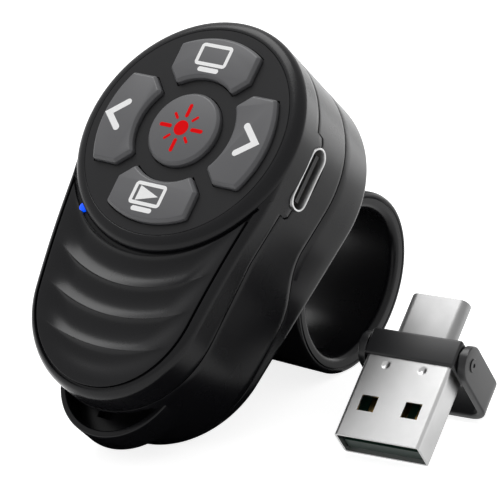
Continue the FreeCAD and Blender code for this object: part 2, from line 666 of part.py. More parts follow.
def switch_bodies():
    solids = []
    low = -BOARD_TOP_DEPTH
    for outline, turn, stem_y in buttons().values():
        x, y = switch_place(turn, stem_y)
        body = box(SWITCH_SIDE, SWITCH_SIDE, SWITCH_HEIGHT, x, y, low)
        bore = rod(PLUNGER_RADIUS + PIN_GAP, SWITCH_HEIGHT, x, y, low + SWITCH_FLOOR)
        solids.append(body.cut(bore))
    return Part.makeCompound(solids)


def plunger(turn, stem_y):
    x, y = switch_place(turn, stem_y)
    low = -BOARD_TOP_DEPTH + SWITCH_FLOOR + BUTTON_TRAVEL + PIN_GAP
    return rod(PLUNGER_RADIUS, stem_tip_z() - low, x, y, low)


def main_pcb():
    low = -BOARD_TOP_DEPTH - BOARD_THICKNESS
    board = hull_prism(WALL + BOARD_MARGIN, low, -BOARD_TOP_DEPTH)
    side = 2 * TAIL_END
    board = board.common(Part.makeBox(side, side, side, V(-side / 2, BOARD_TAIL_Y, -side / 2)))
    for x, y in screw_places():
        board = board.cut(rod(BOSS_RADIUS + RUNNING_GAP, BOARD_THICKNESS, x, y, low))
    notch_x = PORT_START - SEAT_GAP
    notch = Part.makeBox(side, PORT_WIDTH + 2 * SEAT_GAP, BOARD_THICKNESS,
                         V(notch_x, PORT_Y - PORT_WIDTH / 2 - SEAT_GAP, low))
    return board.cut(notch)


def chip(size, place_shares):
    """Chip under the board, its place given in shares of the head's radius."""
    low = -BOARD_TOP_DEPTH - BOARD_THICKNESS - size[2]
    x, y = (share * HEAD_RADIUS for share in place_shares)
    return box(size[0], size[1], size[2], x, y, low)


def status_led():
    return box(LED_SIZE[0], LED_SIZE[1], LED_SIZE[2], LAMP_X, LAMP_Y, -BOARD_TOP_DEPTH)


def led_lens():
    low = -BOARD_TOP_DEPTH + LED_SIZE[2]
    high = -RIM_DROP + LAMP_PROUD
    return rod(LAMP_RADIUS, high - low, LAMP_X, LAMP_Y, low)


def port_shell():
    shell = stadium(PORT_WIDTH, PORT_HEIGHT, PORT_LENGTH, PORT_START, PORT_Y, -PORT_DEPTH)
    return shell.cut(stadium(PORT_WIDTH - 2 * PORT_WALL, PORT_HEIGHT - 2 * PORT_WALL, PORT_LENGTH,
                             PORT_START + PORT_WALL, PORT_Y, -PORT_DEPTH))


def port_tongue():
    base = stadium(PORT_WIDTH - 2 * PORT_WALL, PORT_HEIGHT - 2 * PORT_WALL, TONGUE_BASE,
                   PORT_START + PORT_WALL, PORT_Y, -PORT_DEPTH)
    tongue = Part.makeBox(TONGUE_LENGTH, TONGUE_WIDTH, TONGUE_THICKNESS,
                          V(PORT_START + PORT_WALL + TONGUE_BASE, PORT_Y - TONGUE_WIDTH / 2,
                            -PORT_DEPTH - TONGUE_THICKNESS / 2))
    return fuse(base, tongue)


def port_contacts():
    start = PORT_START + PORT_WALL + TONGUE_BASE
    pitch = TONGUE_WIDTH / CONTACT_COUNT
    solids = []
    for side in (-1, 1):
        centre_z = -PORT_DEPTH + side * (TONGUE_THICKNESS + CONTACT_THICKNESS) / 2
        for i in range(CONTACT_COUNT):
            y = PORT_Y - TONGUE_WIDTH / 2 + (i + 0.5) * pitch
            solids.append(Part.makeBox(CONTACT_LENGTH, CONTACT_WIDTH, CONTACT_THICKNESS,
                                       V(start, y - CONTACT_WIDTH / 2, centre_z - CONTACT_THICKNESS / 2)))
    return Part.makeCompound(solids)


def battery_cell():
    length_y = BATTERY_SIZE[1]
    cell = box(BATTERY_SIZE[0], length_y, BATTERY_SIZE[2], 0, BATTERY_FRONT_Y - length_y / 2,
               -BATTERY_TOP_DEPTH - BATTERY_SIZE[2])
    long_edges = [e for e in cell.Edges if e.BoundBox.YLength > BATTERY_SIZE[1] / 2]
    return cell.makeFillet(BATTERY_ROUND, long_edges)


def battery_leads():
    solids = []
    start_z = -BATTERY_TOP_DEPTH - BATTERY_SIZE[2] / 2
    end_z = -BOARD_TOP_DEPTH - BOARD_THICKNESS
    for side in (-1, 1):
        x = side * LEAD_SPACING / 2 - BATTERY_SIZE[0] / 4
        out = rod(LEAD_RADIUS, LEAD_REACH, x, BATTERY_FRONT_Y, start_z, Y_AXIS)
        knee = Part.makeSphere(LEAD_RADIUS, V(x, BATTERY_FRONT_Y + LEAD_REACH, start_z))
        up = rod(LEAD_RADIUS, end_z - start_z, x, BATTERY_FRONT_Y + LEAD_REACH, start_z)
        solids.append(out.multiFuse([knee, up]).removeSplitter())
    return Part.makeCompound(solids)


def laser_barrel():
    length = LASER_FRONT_Y - LASER_REAR_Y
    barrel = rod(LASER_RADIUS, length, 0, LASER_REAR_Y, -LASER_DEPTH, Y_AXIS)
    return barrel.cut(rod(LASER_BORE, length, 0, LASER_REAR_Y, -LASER_DEPTH, Y_AXIS))


def laser_lens():
    y = LASER_FRONT_Y - LASER_LENS_SETBACK - LASER_LENS_THICKNESS
    return rod(LASER_BORE, LASER_LENS_THICKNESS, 0, y, -LASER_DEPTH, Y_AXIS)


def laser_board():
    y = LASER_REAR_Y - LASER_BOARD_THICKNESS
    return rod(LASER_RADIUS, LASER_BOARD_THICKNESS, 0, y, -LASER_DEPTH, Y_AXIS)


def laser_window():
    y = LASER_FRONT_Y
    return rod(LASER_EXIT_RADIUS, LASER_WINDOW_THICKNESS, 0, y, -LASER_DEPTH, Y_AXIS)


# Receiver pieces, in the block's own frame: large plug towards -y, bail pivot on the x axis

def rounded_box(width, length, height, radius, y_low):
    """Box along y with its four long edges rounded, centred on x and z."""
    shape = Part.makeBox(width, length, height, V(-width / 2, y_low, -height / 2))
    long_edges = [e for e in shape.Edges if e.BoundBox.YLength > length / 2]
    return shape.makeFillet(radius, long_edges)


def receiver_block():
    block = Part.makeBox(BLOCK_WIDTH, BLOCK_LENGTH, BLOCK_HEIGHT,
                         V(-BLOCK_WIDTH / 2, -BLOCK_LENGTH / 2, -BLOCK_HEIGHT / 2))
    block = block.makeChamfer(BLOCK_BEVEL, block.Edges)
    front = -BLOCK_LENGTH / 2
    back = BLOCK_LENGTH / 2
    block = block.cut(rounded_box(PLUG_A_WIDTH, BLOCK_POCKET, PLUG_A_HEIGHT, PLUG_A_ROUND, front))
    block = block.cut(plug_c_prism(0, back - BLOCK_POCKET, BLOCK_POCKET))
    board = Part.makeBox(RECEIVER_BOARD[0], BLOCK_LENGTH, RECEIVER_BOARD[1],
                         V(-RECEIVER_BOARD[0] / 2, front, -RECEIVER_BOARD[1] / 2))
    block = block.cut(board)
    for side in (-1, 1):
        start = side * (BLOCK_WIDTH / 2 - PIN_DEPTH)
        block = block.cut(rod(PIN_RADIUS, PIN_DEPTH, start, 0, 0, X_AXIS * side))
    return block


def plug_a_shell():
    start = -BLOCK_LENGTH / 2 - PLUG_A_REACH
    length = PLUG_A_REACH + BLOCK_POCKET
    shell = rounded_box(PLUG_A_WIDTH, length, PLUG_A_HEIGHT, PLUG_A_ROUND, start)
    inner_round = PLUG_A_ROUND - PLUG_A_WALL
    inner = rounded_box(PLUG_A_WIDTH - 2 * PLUG_A_WALL, length, PLUG_A_HEIGHT - 2 * PLUG_A_WALL,
                        inner_round, start)
    shell = shell.cut(inner)
    window_y = -BLOCK_LENGTH / 2 - WINDOW_REACH
    for side in (-1, 1):
        shell = shell.cut(box(WINDOW_SIDE, WINDOW_SIDE, 2 * PLUG_A_HEIGHT, side * WINDOW_OFFSET,
                              window_y, -PLUG_A_HEIGHT))
    return shell


def plug_a_tongue():
    width, height = PLUG_A_TONGUE
    start = -BLOCK_LENGTH / 2 - PLUG_A_REACH + PLUG_A_TONGUE_SETBACK
    length = PLUG_A_REACH + BLOCK_POCKET - PLUG_A_TONGUE_SETBACK
    low = -PLUG_A_HEIGHT / 2 + PLUG_A_WALL
    tongue = Part.makeBox(width, length, height, V(-width / 2, start, low))
    board = Part.makeBox(RECEIVER_BOARD[0], length, RECEIVER_BOARD[1],
                         V(-RECEIVER_BOARD[0] / 2, -BLOCK_LENGTH / 2, -RECEIVER_BOARD[1] / 2))
    return tongue.cut(board)


def plug_a_contacts():
    width, length, height = PLUG_A_CONTACT
    start = -BLOCK_LENGTH / 2 - PLUG_A_REACH + 2 * PLUG_A_TONGUE_SETBACK
    low = -PLUG_A_HEIGHT / 2 + PLUG_A_WALL + PLUG_A_TONGUE[1]
    strips = []
    for share in (-1.5, -0.5, 0.5, 1.5):
        x = share * PLUG_A_CONTACT_SPACING
        strips.append(Part.makeBox(width, length, height, V(x - width / 2, start, low)))
    return Part.makeCompound(strips)


def plug_c_prism(inset, start, length):
    width = PLUG_C_WIDTH - 2 * inset
    height = PLUG_C_HEIGHT - 2 * inset
    half = (width - height) / 2
    core = Part.makeBox(2 * half, length, height, V(-half, start, -height / 2))
    ends = [rod(height / 2, length, side * half, start, 0, Y_AXIS) for side in (-1, 1)]
    return fuse(core, *ends)


def plug_c_shell():
    start = BLOCK_LENGTH / 2 - BLOCK_POCKET
    length = PLUG_C_REACH + BLOCK_POCKET
    return plug_c_prism(0, start, length).cut(plug_c_prism(PLUG_C_WALL, start, length))


def plug_c_liner():
    start = BLOCK_LENGTH / 2 - BLOCK_POCKET
    length = PLUG_C_REACH + BLOCK_POCKET - PLUG_C_LINER_SETBACK
    liner = plug_c_prism(PLUG_C_WALL, start, length)
    mouth = plug_c_prism(PLUG_C_WALL + PLUG_C_LINER, start + 2 * BLOCK_POCKET, length)
    board = Part.makeBox(RECEIVER_BOARD[0], BLOCK_LENGTH / 2 - start, RECEIVER_BOARD[1],
                         V(-RECEIVER_BOARD[0] / 2, start, -RECEIVER_BOARD[1] / 2))
    return liner.cut(mouth).cut(board)


def receiver_pcb():
    front = -BLOCK_LENGTH / 2
    return Part.makeBox(RECEIVER_BOARD[0], BLOCK_LENGTH, RECEIVER_BOARD[1],
                        V(-RECEIVER_BOARD[0] / 2, front, -RECEIVER_BOARD[1] / 2)).cut(
        rounded_box(PLUG_A_WIDTH, BLOCK_POCKET, PLUG_A_HEIGHT, PLUG_A_ROUND, front - BLOCK_POCKET))


def bail_inner_half():
    return BLOCK_WIDTH / 2 + BAIL_GAP


def swing_bail():
    """U shaped band: two arms outside the block and a bar across their far ends."""
    outer_half = bail_inner_half() + BAIL_THICKNESS
    end = BAIL_WIDTH / 2
    outer = Part.makeBox(2 * outer_half, BAIL_WIDTH, BAIL_REACH + end,
                         V(-outer_half, -BAIL_WIDTH / 2, -BAIL_REACH))
    low_edges = [e for e in outer.Edges if e.BoundBox.ZMax < -BAIL_REACH + SEAT_GAP
                 and e.BoundBox.YLength > BAIL_WIDTH / 2]
    outer = outer.makeFillet(BAIL_ROUND, low_edges)
    inner = Part.makeBox(2 * bail_inner_half(), BAIL_WIDTH, BAIL_REACH + end,
                         V(-bail_inner_half(), -BAIL_WIDTH / 2, -BAIL_REACH + BAIL_THICKNESS))
    low_edges = [e for e in inner.Edges if e.BoundBox.ZMax < -BAIL_REACH + BAIL_THICKNESS + SEAT_GAP
                 and e.BoundBox.YLength > BAIL_WIDTH / 2]
    inner = inner.makeFillet(BAIL_ROUND - BAIL_THICKNESS, low_edges)
    band = outer.cut(inner)
    side = rod(end, 2 * outer_half, -outer_half, 0, 0, X_AXIS)
    side = side.fuse(Part.makeBox(2 * outer_half, BAIL_WIDTH, BAIL_REACH,
                                  V(-outer_half, -BAIL_WIDTH / 2, -BAIL_REACH)))
    band = band.common(side)
    return band.cut(rod(PIN_RADIUS + PIN_GAP, 2 * outer_half, -outer_half, 0, 0, X_AXIS))


def bail_pins():
    start = BLOCK_WIDTH / 2 - PIN_DEPTH
    length = PIN_DEPTH + BAIL_GAP + BAIL_THICKNESS + PIN_PROUD
    return Part.makeCompound([rod(PIN_RADIUS, length, side * start, 0, 0, X_AXIS * side)
                              for side in (-1, 1)])


# Rest pose

def rest_tilt():
    """Angle at which the ring's underside and the tail's back edge lie on one level floor."""
    def ring_low(sine, cosine):
        reach = math.sqrt((RING_OUTER_HALF * sine) ** 2 + (RING_OUTER_LOW * cosine) ** 2)
        return RING_CENTRE_Y * sine - RING_CENTRE_DEPTH * cosine - reach

    def tail_low(sine, cosine):
        y = -TAIL_END + BACK_EDGE_ROUND
        z = -BODY_DEPTH + BACK_EDGE_ROUND
        return y * sine + z * cosine - BACK_EDGE_ROUND

    low = math.radians(20)
    high = math.radians(70)
    for halving in range(60):
        angle = (low + high) / 2
        sine = math.sin(angle)
        cosine = math.cos(angle)
        if ring_low(sine, cosine) < tail_low(sine, cosine):
            low = angle
        else:
            high = angle
    floor = tail_low(math.sin(angle), math.cos(angle))
    return math.degrees(angle), floor


def receiver_tilt():
    """Angle at which the large plug's lower tip and the bail's near edge lie on one level floor."""
    tip = BLOCK_LENGTH / 2 + PLUG_A_REACH
    angle = math.atan2(BAIL_REACH - PLUG_A_HEIGHT / 2, tip - BAIL_WIDTH / 2)
    height = tip * math.sin(angle) + PLUG_A_HEIGHT / 2 * math.cos(angle)
    return math.degrees(angle), height


def clicker_pieces():
    blank = body_blank()
    pieces = {
        "top_cover": top_cover(blank),
        "mid_housing": mid_housing(blank),
        "back_cover": back_cover(blank),
        "key_plate": key_plate(),
        "finger_ring": finger_ring(),
        "lanyard_loop": loop_strap(),
        "led_lens": led_lens(),
        "status_led": status_led(),
        "main_pcb": main_pcb(),
        "switch_bodies": switch_bodies(),
        "radio_chip": chip(RADIO_CHIP, RADIO_CHIP_PLACE_SHARES),
        "charge_chip": chip(CHARGE_CHIP, CHARGE_CHIP_PLACE_SHARES),
        "crystal_can": chip(CRYSTAL, CRYSTAL_PLACE_SHARES),
        "port_shell": port_shell(),
        "port_tongue": port_tongue(),
        "port_contacts": port_contacts(),
        "battery_cell": battery_cell(),
        "battery_leads": battery_leads(),
        "laser_barrel": laser_barrel(),
        "laser_lens": laser_lens(),
        "laser_board": laser_board(),
        "laser_window": laser_window(),
        "case_screws": case_screws(),
        "ring_screws": ring_screws(),
    }
    for name, (outline, turn, stem_y) in buttons().items():
        pieces[name + "_button"] = button(outline, turn, stem_y)
        pieces[name + "_plunger"] = plunger(turn, stem_y)
    return pieces


def receiver_pieces():
    return {
        "receiver_block": receiver_block(),
        "plug_a_shell": plug_a_shell(),
        "plug_a_tongue": plug_a_tongue(),
        "plug_a_contacts": plug_a_contacts(),
        "plug_c_shell": plug_c_shell(),
        "plug_c_liner": plug_c_liner(),
        "receiver_pcb": receiver_pcb(),
        "swing_bail": swing_bail(),
        "bail_pins": bail_pins(),
    }


def place_clicker(shape):
    tilt, floor = rest_tilt()
    shape.rotate(V(0, 0, 0), X_AXIS, tilt)
    return move(shape, 0, 0, -floor)


def place_receiver(shape):
    tilt, height = receiver_tilt()
    shape.rotate(V(0, 0, 0), X_AXIS, tilt)
    shape.rotate(V(0, 0, 0), Z_AXIS, RECEIVER_YAW)
    return move(shape, RECEIVER_X, RECEIVER_Y, height)


def main():
    os.makedirs("parts", exist_ok=True)
    pieces = {name: place_clicker(shape) for name, shape in clicker_pieces().items()}
    pieces.update({name: place_receiver(shape) for name, shape in receiver_pieces().items()})
    whole = Part.makeCompound(list(pieces.values())).optimalBoundingBox(False, False)
    shift = V(-(whole.XMin + whole.XMax) / 2, -(whole.YMin + whole.YMax) / 2, -whole.ZMin)
    print("tilt %.4f floor %.4f" % rest_tilt(), "receiver tilt %.4f height %.4f" % receiver_tilt())
    print("shift", shift, "size", whole.XLength, whole.YLength, whole.ZLength)
    for name, shape in pieces.items():
        shape.translate(shift)
        print("%-18s solids %2d volume %9.2f" % (name, len(shape.Solids), shape.Volume), shape.isValid())
        shape.exportStep("parts/" + name + ".step")


main()
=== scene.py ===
"""Looks of a wireless presentation clicker and its two-ended receiver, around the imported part."""

import math

import bmesh
import bpy
import numpy as np
from mathutils import Matrix


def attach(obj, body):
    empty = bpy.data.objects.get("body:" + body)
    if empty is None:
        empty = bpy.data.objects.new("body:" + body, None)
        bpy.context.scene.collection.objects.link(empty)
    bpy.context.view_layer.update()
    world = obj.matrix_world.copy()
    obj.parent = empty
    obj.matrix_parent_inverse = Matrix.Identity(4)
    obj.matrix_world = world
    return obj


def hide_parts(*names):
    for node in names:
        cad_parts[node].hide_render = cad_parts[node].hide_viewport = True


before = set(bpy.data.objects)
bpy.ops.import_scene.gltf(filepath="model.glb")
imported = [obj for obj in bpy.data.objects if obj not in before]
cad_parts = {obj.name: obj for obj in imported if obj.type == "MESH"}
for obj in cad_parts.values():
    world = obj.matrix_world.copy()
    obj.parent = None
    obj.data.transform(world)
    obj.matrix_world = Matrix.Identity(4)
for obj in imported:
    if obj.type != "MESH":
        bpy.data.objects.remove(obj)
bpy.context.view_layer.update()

MM = 0.001
SHARP = 30

# Body outline and heights, in millimetres from the centre of the key plate's face
PLATE_RADIUS = 15.0
PLATE_THICKNESS = 1.2
HEAD_RADIUS = 16.8
TAIL_RADIUS = 13.66
TAIL_OFFSET = 22.7
TAIL_END = TAIL_OFFSET + TAIL_RADIUS
LEAN = math.asin((HEAD_RADIUS - TAIL_RADIUS) / TAIL_OFFSET)
SIDE_LENGTH = TAIL_OFFSET * math.cos(LEAN)
WALL = 1.8
BODY_DEPTH = 19.3
BACK_ROUND = 1.2
OUTLINE_STEPS = 480

# Top surface
RIM_DROP = 1.07
CROWN_START = 12.1
CROWN_RADIUS = 114.7
ROOF_THICKNESS = 2.6
RIM_ROUND = 1.2
HEAD_EDGE_ROUND = 0.33
LEDGE_RADIUS = 14.3

# Bezel shoulder
SHOULDER_START = 15.1
SHOULDER_FALL = 1.4

# Thumb grip, a pad between two narrow channels
CREST_RADII = (17.4, 21.59, 25.78, 29.97, 34.16, 37.56)
PAD_START = 17.26
PAD_INSET = 1.29
CHANNEL_INSET = 0.92
CHANNEL_DEPTH = 0.45
PAD_EDGE = 0.08
SCOOP_DEPTH = 0.75
SCOOP_FADE = 4.5

# Parting lines
UPPER_PARTING = ((-38.36, -8.4), (-13.8, -4.66), (20, -4.66))
PORT_TAB = ((-6.68, -4.66), (-6.59, -5.75), (-6.17, -6.17), (4.5, -6.17), (5.3, -5.85), (5.47, -4.66))
LOWER_PARTING = ((-40, -18.3), (-38.36, -18.3), (-15.5, -16.4), (-10, -12.2), (20, -12.2))
LOWER_PARTING_SPREAD = 2.0
GROOVE_HALF = 0.08
GROOVE_DEPTH = 0.35
GROOVE_ROUND = 0.06

# Laser exit and case screws
EXIT_RADIUS = 1.7
EXIT_DEPTH = 9.7
SCREW_RINGS = ((HEAD_RADIUS - WALL - 1.05, 0, 41.8), (TAIL_RADIUS - WALL - 2.29, -TAIL_OFFSET, -41.2))
SCREW_RADIUS = 0.8
SCREW_HEAD_RADIUS = 1.6
SCREW_HOLE_RADIUS = 1.8
SCREW_SEAT = 1.3
SCREW_TOP = 0.3
CROSS_DEPTH = 0.55

# Buttons
ARC_HALF_WIDTH = 6.48
ARC_OUTER_RADIUS = 13.46
ARC_INNER_RADIUS = 7.57
ARC_SLANT = 1.59
CENTRE_BUTTON_RADIUS = 5.26
BUTTON_RISE = 0.86
BUTTON_BEVEL = 0.4
BUTTON_CORNER = 0.5
FLANGE_GROW = 0.5
STEM_OFFSET = 8.6
STEM_RADIUS = 0.9
FLANGE_LOW = -2.2
FLANGE_THICKNESS = 0.7
STEM_LOW = -3.9
MARK_SPAN = (BUTTON_RISE - 0.01, BUTTON_RISE + 0.02)
SUN_DISC = 1.08
SUN_RAYS = ((1.82, 3.25, 0.55), (1.8, 2.55, 0.4))

# Status lamp
LAMP_RADIUS = 0.6
LAMP_DEGREES = 229.1
LAMP_REACH = CREST_RADII[0] - 0.54
LAMP_FOOT = -5.3
LAMP_SHOULDER = -1.15
LAMP_DOME = 0.22

# Charging port
PORT_Y = -0.55
PORT_DEPTH = 6.17
PORT_WIDTH = 8.94
PORT_HEIGHT = 3.26
PORT_WALL = 0.3
PORT_START = 10.3
PORT_FACE = 16.7

# Finger ring
RING_CENTRE_Y = -3.7
RING_CENTRE_DEPTH = 32.0
RING_DROP = 12.7
RING_OUTER_HALF = 12.55
RING_OUTER_LOW = 10.87
RING_INNER_HALF = 10.17
RING_INNER_LOW = 8.25
RING_INNER_HIGH = 10.1
RING_BAND = 22.2
RING_FOOT_HALF = 7.0
RING_LIP = 1.2
RING_RIM = 0.5

# Lanyard loop
LOOP_RADIUS = 9.2
LOOP_THICKNESS = 0.9
LOOP_CENTRE_Y = -30.4
LOOP_END_Y = -31.8
LOOP_TOP_DEPTH = 9.2
LOOP_HEIGHT = 4.1
LOOP_FLOOR = 0.8
LOOP_FLOOR_FRONT = -TAIL_END + 0.2
LOOP_RECESS_FRONT = -TAIL_END + 2.66
LOOP_BACKING = 1.4
CORD_HOLE_HALF = 3.2

# Receiver, from the bail's pivot
BLOCK = (12.8, 3.9, 5.3)
PLUG_A = (12.0, 4.5, 12.0)
PLUG_A_WALL = 0.3
WINDOW_SIDE = 2.3
WINDOW_OFFSET = 3.1
WINDOW_REACH = 7.0
PLUG_C = (8.25, 2.4, 6.65)
PLUG_POCKET = 0.95
BAIL_WIDTH = 4.9
BAIL_THICKNESS = 1.1
BAIL_REACH = 10.0
BAIL_ROUND = 2.6
BAIL_GAP = 0.15
PIN_RADIUS = 0.9
PIN_PROUD = 0.15

# Camera, in the clicker's own frame, and light
LENS = 234.5
LENS_SHIFT = 0.008
CAMERA_PLACE = (256.9, -122.4, 305.3)
CAMERA_AXES = ((0.78258, 0.40918, -0.46918), (-0.18355, 0.87180, 0.45417), (0.59487, -0.26931, 0.75736))
LAMP_HEADING = (-0.42, 0.22, 0.88)
LAMP_DISTANCE = 1.2
LAMP_SIZE = 0.7
LAMP_WATTS = 9
WORLD_LIGHT = 0.5
FLOOR_HALF = 3.0
FLOOR_WHITE = 0.8
FLOOR_GLOW = 0.82


# Where the clicker and the receiver stand

def read(items, key, size):
    """One value of every item of a mesh, in rows of size."""
    values = np.empty(len(items) * size, np.float32)
    items.foreach_get(key, values)
    return values.reshape(-1, size).astype(float)


def node_points(name):
    return read(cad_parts[name].data.vertices, "co", 3)


def widest_normal(name):
    """Upward normal of a node's widest face."""
    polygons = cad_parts[name].data.polygons
    normal = read(polygons, "normal", 3)[read(polygons, "area", 1).argmax()]
    return normal / np.linalg.norm(normal) * np.sign(normal[2])


def place_from(x_axis, z_axis, name, top):
    """Axes and origin of a frame on a node: centred on it, and at its top if so asked."""
    axes = np.array([x_axis, np.cross(z_axis, x_axis), z_axis])
    along = node_points(name) @ axes.T
    origin = (along.min(0) + along.max(0)) / 2
    if top:
        origin[2] = along[:, 2].max()
    return axes, origin @ axes


def receiver_place():
    z_axis = widest_normal("plug_a_shell")
    pins = node_points("bail_pins")
    from_middle = pins - (pins.min(0) + pins.max(0)) / 2
    right = from_middle[from_middle[:, 0] > 0].mean(0)
    right -= (right @ z_axis) * z_axis
    return place_from(right / np.linalg.norm(right), z_axis, "bail_pins", False)


CLICKER = place_from(np.array([1.0, 0, 0]), widest_normal("key_plate"), "key_plate", True)
RECEIVER = receiver_place()


def to_row(points, place):
    """Millimetres in a frame of their own to metres in the row frame."""
    axes, origin = place
    return np.asarray(points) @ axes * MM + origin


# Meshes

def sweep(rows, ends="joined"):
    """Points and faces of a surface from rows of closed outlines: row r, column c, and the columns wrap.
    Its two end rows are capped with flat faces, joined to each other or left open."""
    rows = np.asarray(rows, float)
    count, across = rows.shape[:2]
    row = np.arange(count if ends == "joined" else count - 1)[:, None]
    column = np.arange(across)[None, :]
    beside = (column + 1) % across
    above = (row + 1) % count
    quads = np.stack([row * across + column, row * across + beside,
                      above * across + beside, above * across + column], -1).reshape(-1, 4)
    caps = []
    if ends == "capped":
        caps = [np.arange(across)[::-1], (count - 1) * across + np.arange(across)]
    return rows.reshape(-1, 3), quads, caps


def mesh_from(name, parts, place):
    """One mesh from several swept parts, with doubled points merged and faces turned outward."""
    points = np.concatenate([part[0] for part in parts])
    faces = []
    start = 0
    for part_points, quads, caps in parts:
        faces += (quads + start).tolist()
        faces += [(cap + start).tolist() for cap in caps]
        start += len(part_points)
    mesh = bpy.data.meshes.new(name)
    mesh.from_pydata(to_row(points, place), [], faces)
    shape = bmesh.new()
    shape.from_mesh(mesh)
    bmesh.ops.remove_doubles(shape, verts=shape.verts, dist=1e-6)
    bmesh.ops.dissolve_degenerate(shape, dist=1e-7, edges=shape.edges)
    bmesh.ops.recalc_face_normals(shape, faces=shape.faces)
    shape.to_mesh(mesh)
    shape.free()
    mesh.shade_smooth()
    mesh.set_sharp_from_angle(angle=math.radians(SHARP))
    return mesh


def add_piece(name, parts, body, finish, stands_for=()):
    """A finished piece of the object: its mesh, material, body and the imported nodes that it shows."""
    place = RECEIVER if body in ("receiver", "bail") else CLICKER
    piece = bpy.data.objects.new(name, mesh_from(name, parts, place))
    bpy.context.scene.collection.objects.link(piece)
    piece.data.materials.append(FINISHES[finish])
    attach(piece, body)
    if stands_for:
        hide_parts(*stands_for)
    return piece


def settle(piece):
    """Keeps a piece's mesh as its modifiers leave it."""
    graph = bpy.context.evaluated_depsgraph_get()
    made = bpy.data.meshes.new_from_object(piece.evaluated_get(graph))
    piece.modifiers.clear()
    piece.data = made
    made.shade_smooth()
    made.set_sharp_from_angle(angle=math.radians(SHARP))


def cut_out(piece, parts):
    """Takes the swept parts out of a piece of the clicker."""
    tool = bpy.data.objects.new("tool", mesh_from("tool", parts, CLICKER))
    bpy.context.scene.collection.objects.link(tool)
    change = piece.modifiers.new("cut", "BOOLEAN")
    change.operation = "DIFFERENCE"
    change.solver = "EXACT"
    change.object = tool
    settle(piece)
    bpy.data.objects.remove(tool)


def smooth_step(value, low, high):
    share = np.clip((value - low) / (high - low), 0, 1)
    return share * share * (3 - 2 * share)


def direction(angle):
    """Unit vectors in x and y."""
    return np.stack([np.cos(angle), np.sin(angle)], -1)


def at_height(outline, z):
    """Outline in x and y, set at one height or at a height for each point."""
    return np.column_stack([outline, np.broadcast_to(z, len(outline))])


def along_y(outline, y):
    """Outline in x and z, set at one y."""
    return np.stack([outline[:, 0], np.full(len(outline), y), outline[:, 1]], -1)


def ring_of(radius, z, count=64, x=0, y=0):
    """Circle of points about the z axis."""
    angle = np.linspace(0, 2 * math.pi, count, endpoint=False)
    return at_height(radius * direction(angle) + (x, y), z)


def rod(radius, low, high, x=0, y=0, count=64):
    return sweep([ring_of(radius, z, count, x, y) for z in (low, high)], "capped")


def turned(part, axes):
    """A part with its x, y and z laid along other axes."""
    return part[0] @ np.array(axes, float), part[1], part[2]


# Body outline

def outline_reach(angle, inset):
    """Distance from the plate's axis to the body's outline drawn in by inset: a head circle, a straight
    side and a tail circle, each where the direction's slope meets it."""
    head = HEAD_RADIUS - inset
    tail = TAIL_RADIUS - inset
    across = np.abs(np.cos(angle))
    up = np.sin(angle)
    slope = np.arctan2(up, across)
    side = head / np.maximum(math.cos(LEAN) * across - math.sin(LEAN) * up, 1e-6)
    end = -TAIL_OFFSET * up + np.sqrt(np.maximum(tail ** 2 - (TAIL_OFFSET * across) ** 2, 0))
    tail_slope = np.arctan2(-TAIL_OFFSET - tail * math.sin(LEAN), tail * math.cos(LEAN))
    return np.where(slope > -LEAN, head, np.where(slope > tail_slope, side, end))


def inset_at(x, y):
    """How far a place lies inside the body's outline."""
    across = np.abs(x)
    along = -across * math.sin(LEAN) - y * math.cos(LEAN)
    side = HEAD_RADIUS - (across * math.cos(LEAN) - y * math.sin(LEAN))
    head = HEAD_RADIUS - np.hypot(x, y)
    tail = TAIL_RADIUS - np.hypot(x, y + TAIL_OFFSET)
    return np.where(along < 0, head, np.where(along > SIDE_LENGTH, tail, side))


def outline_angles():
    """Directions whose outline points lie evenly round the body, with more beside the port's tab."""
    fine = np.linspace(-math.pi / 2, 1.5 * math.pi, 40 * OUTLINE_STEPS, endpoint=False)
    reach = outline_reach(fine, 0)
    x = reach * np.cos(fine)
    y = reach * np.sin(fine)
    step = np.hypot(np.diff(x, append=x[:1]), np.diff(y, append=y[:1]))
    travelled = np.concatenate([[0], np.cumsum(step)[:-1]])
    even = np.interp(np.arange(OUTLINE_STEPS) * step.sum() / OUTLINE_STEPS, travelled, fine)
    right = (fine < math.pi / 2)
    corner_y = np.array([point[0] for point in PORT_TAB])
    beside = (corner_y[:, None] + np.array([-1.2, -0.8, 0, 0.8, 1.2]) * GROOVE_HALF).ravel()
    extra = np.interp(beside, y[right], fine[right])
    return np.unique(np.round(np.concatenate([even, extra]), 6))


ANGLES = outline_angles()


def at_angles(distance, height):
    """Row of points at a distance from the plate's axis and a height."""
    return at_height((distance * direction(ANGLES).T).T, height)


def at_inset(inset, height):
    return at_angles(outline_reach(ANGLES, inset), height)


# Top cover

def crown(y):
    run = np.maximum(0, -y - CROWN_START)
    return -RIM_DROP - CROWN_RADIUS + np.sqrt(CROWN_RADIUS ** 2 - run ** 2)


def scoop_share(distance):
    """Depth of the grip's scoops as a share: each drops fast behind its inner crest, as share to the
    power 0.75 times one minus share, and rises evenly to a sharp outer crest."""
    total = 0
    for inner, outer in zip(CREST_RADII, CREST_RADII[1:]):
        share = np.clip((distance - inner) / (outer - inner), 0, 1)
        total = total + share ** 0.75 * (1 - share) / 0.3027
    return total


def channel_depth(distance, inset):
    """Depth of the channels round the grip's pad, and of the pad's and the rim's softened edges."""
    inside = np.minimum(distance - PAD_START, inset - PAD_INSET)
    outside = CHANNEL_INSET - inset
    away = np.where(inside >= 0, inside, outside)
    edge = PAD_EDGE * np.clip(1 - away / PAD_EDGE, 0, 1) ** 2
    return np.where((inside < 0) & (outside < 0), CHANNEL_DEPTH, edge)


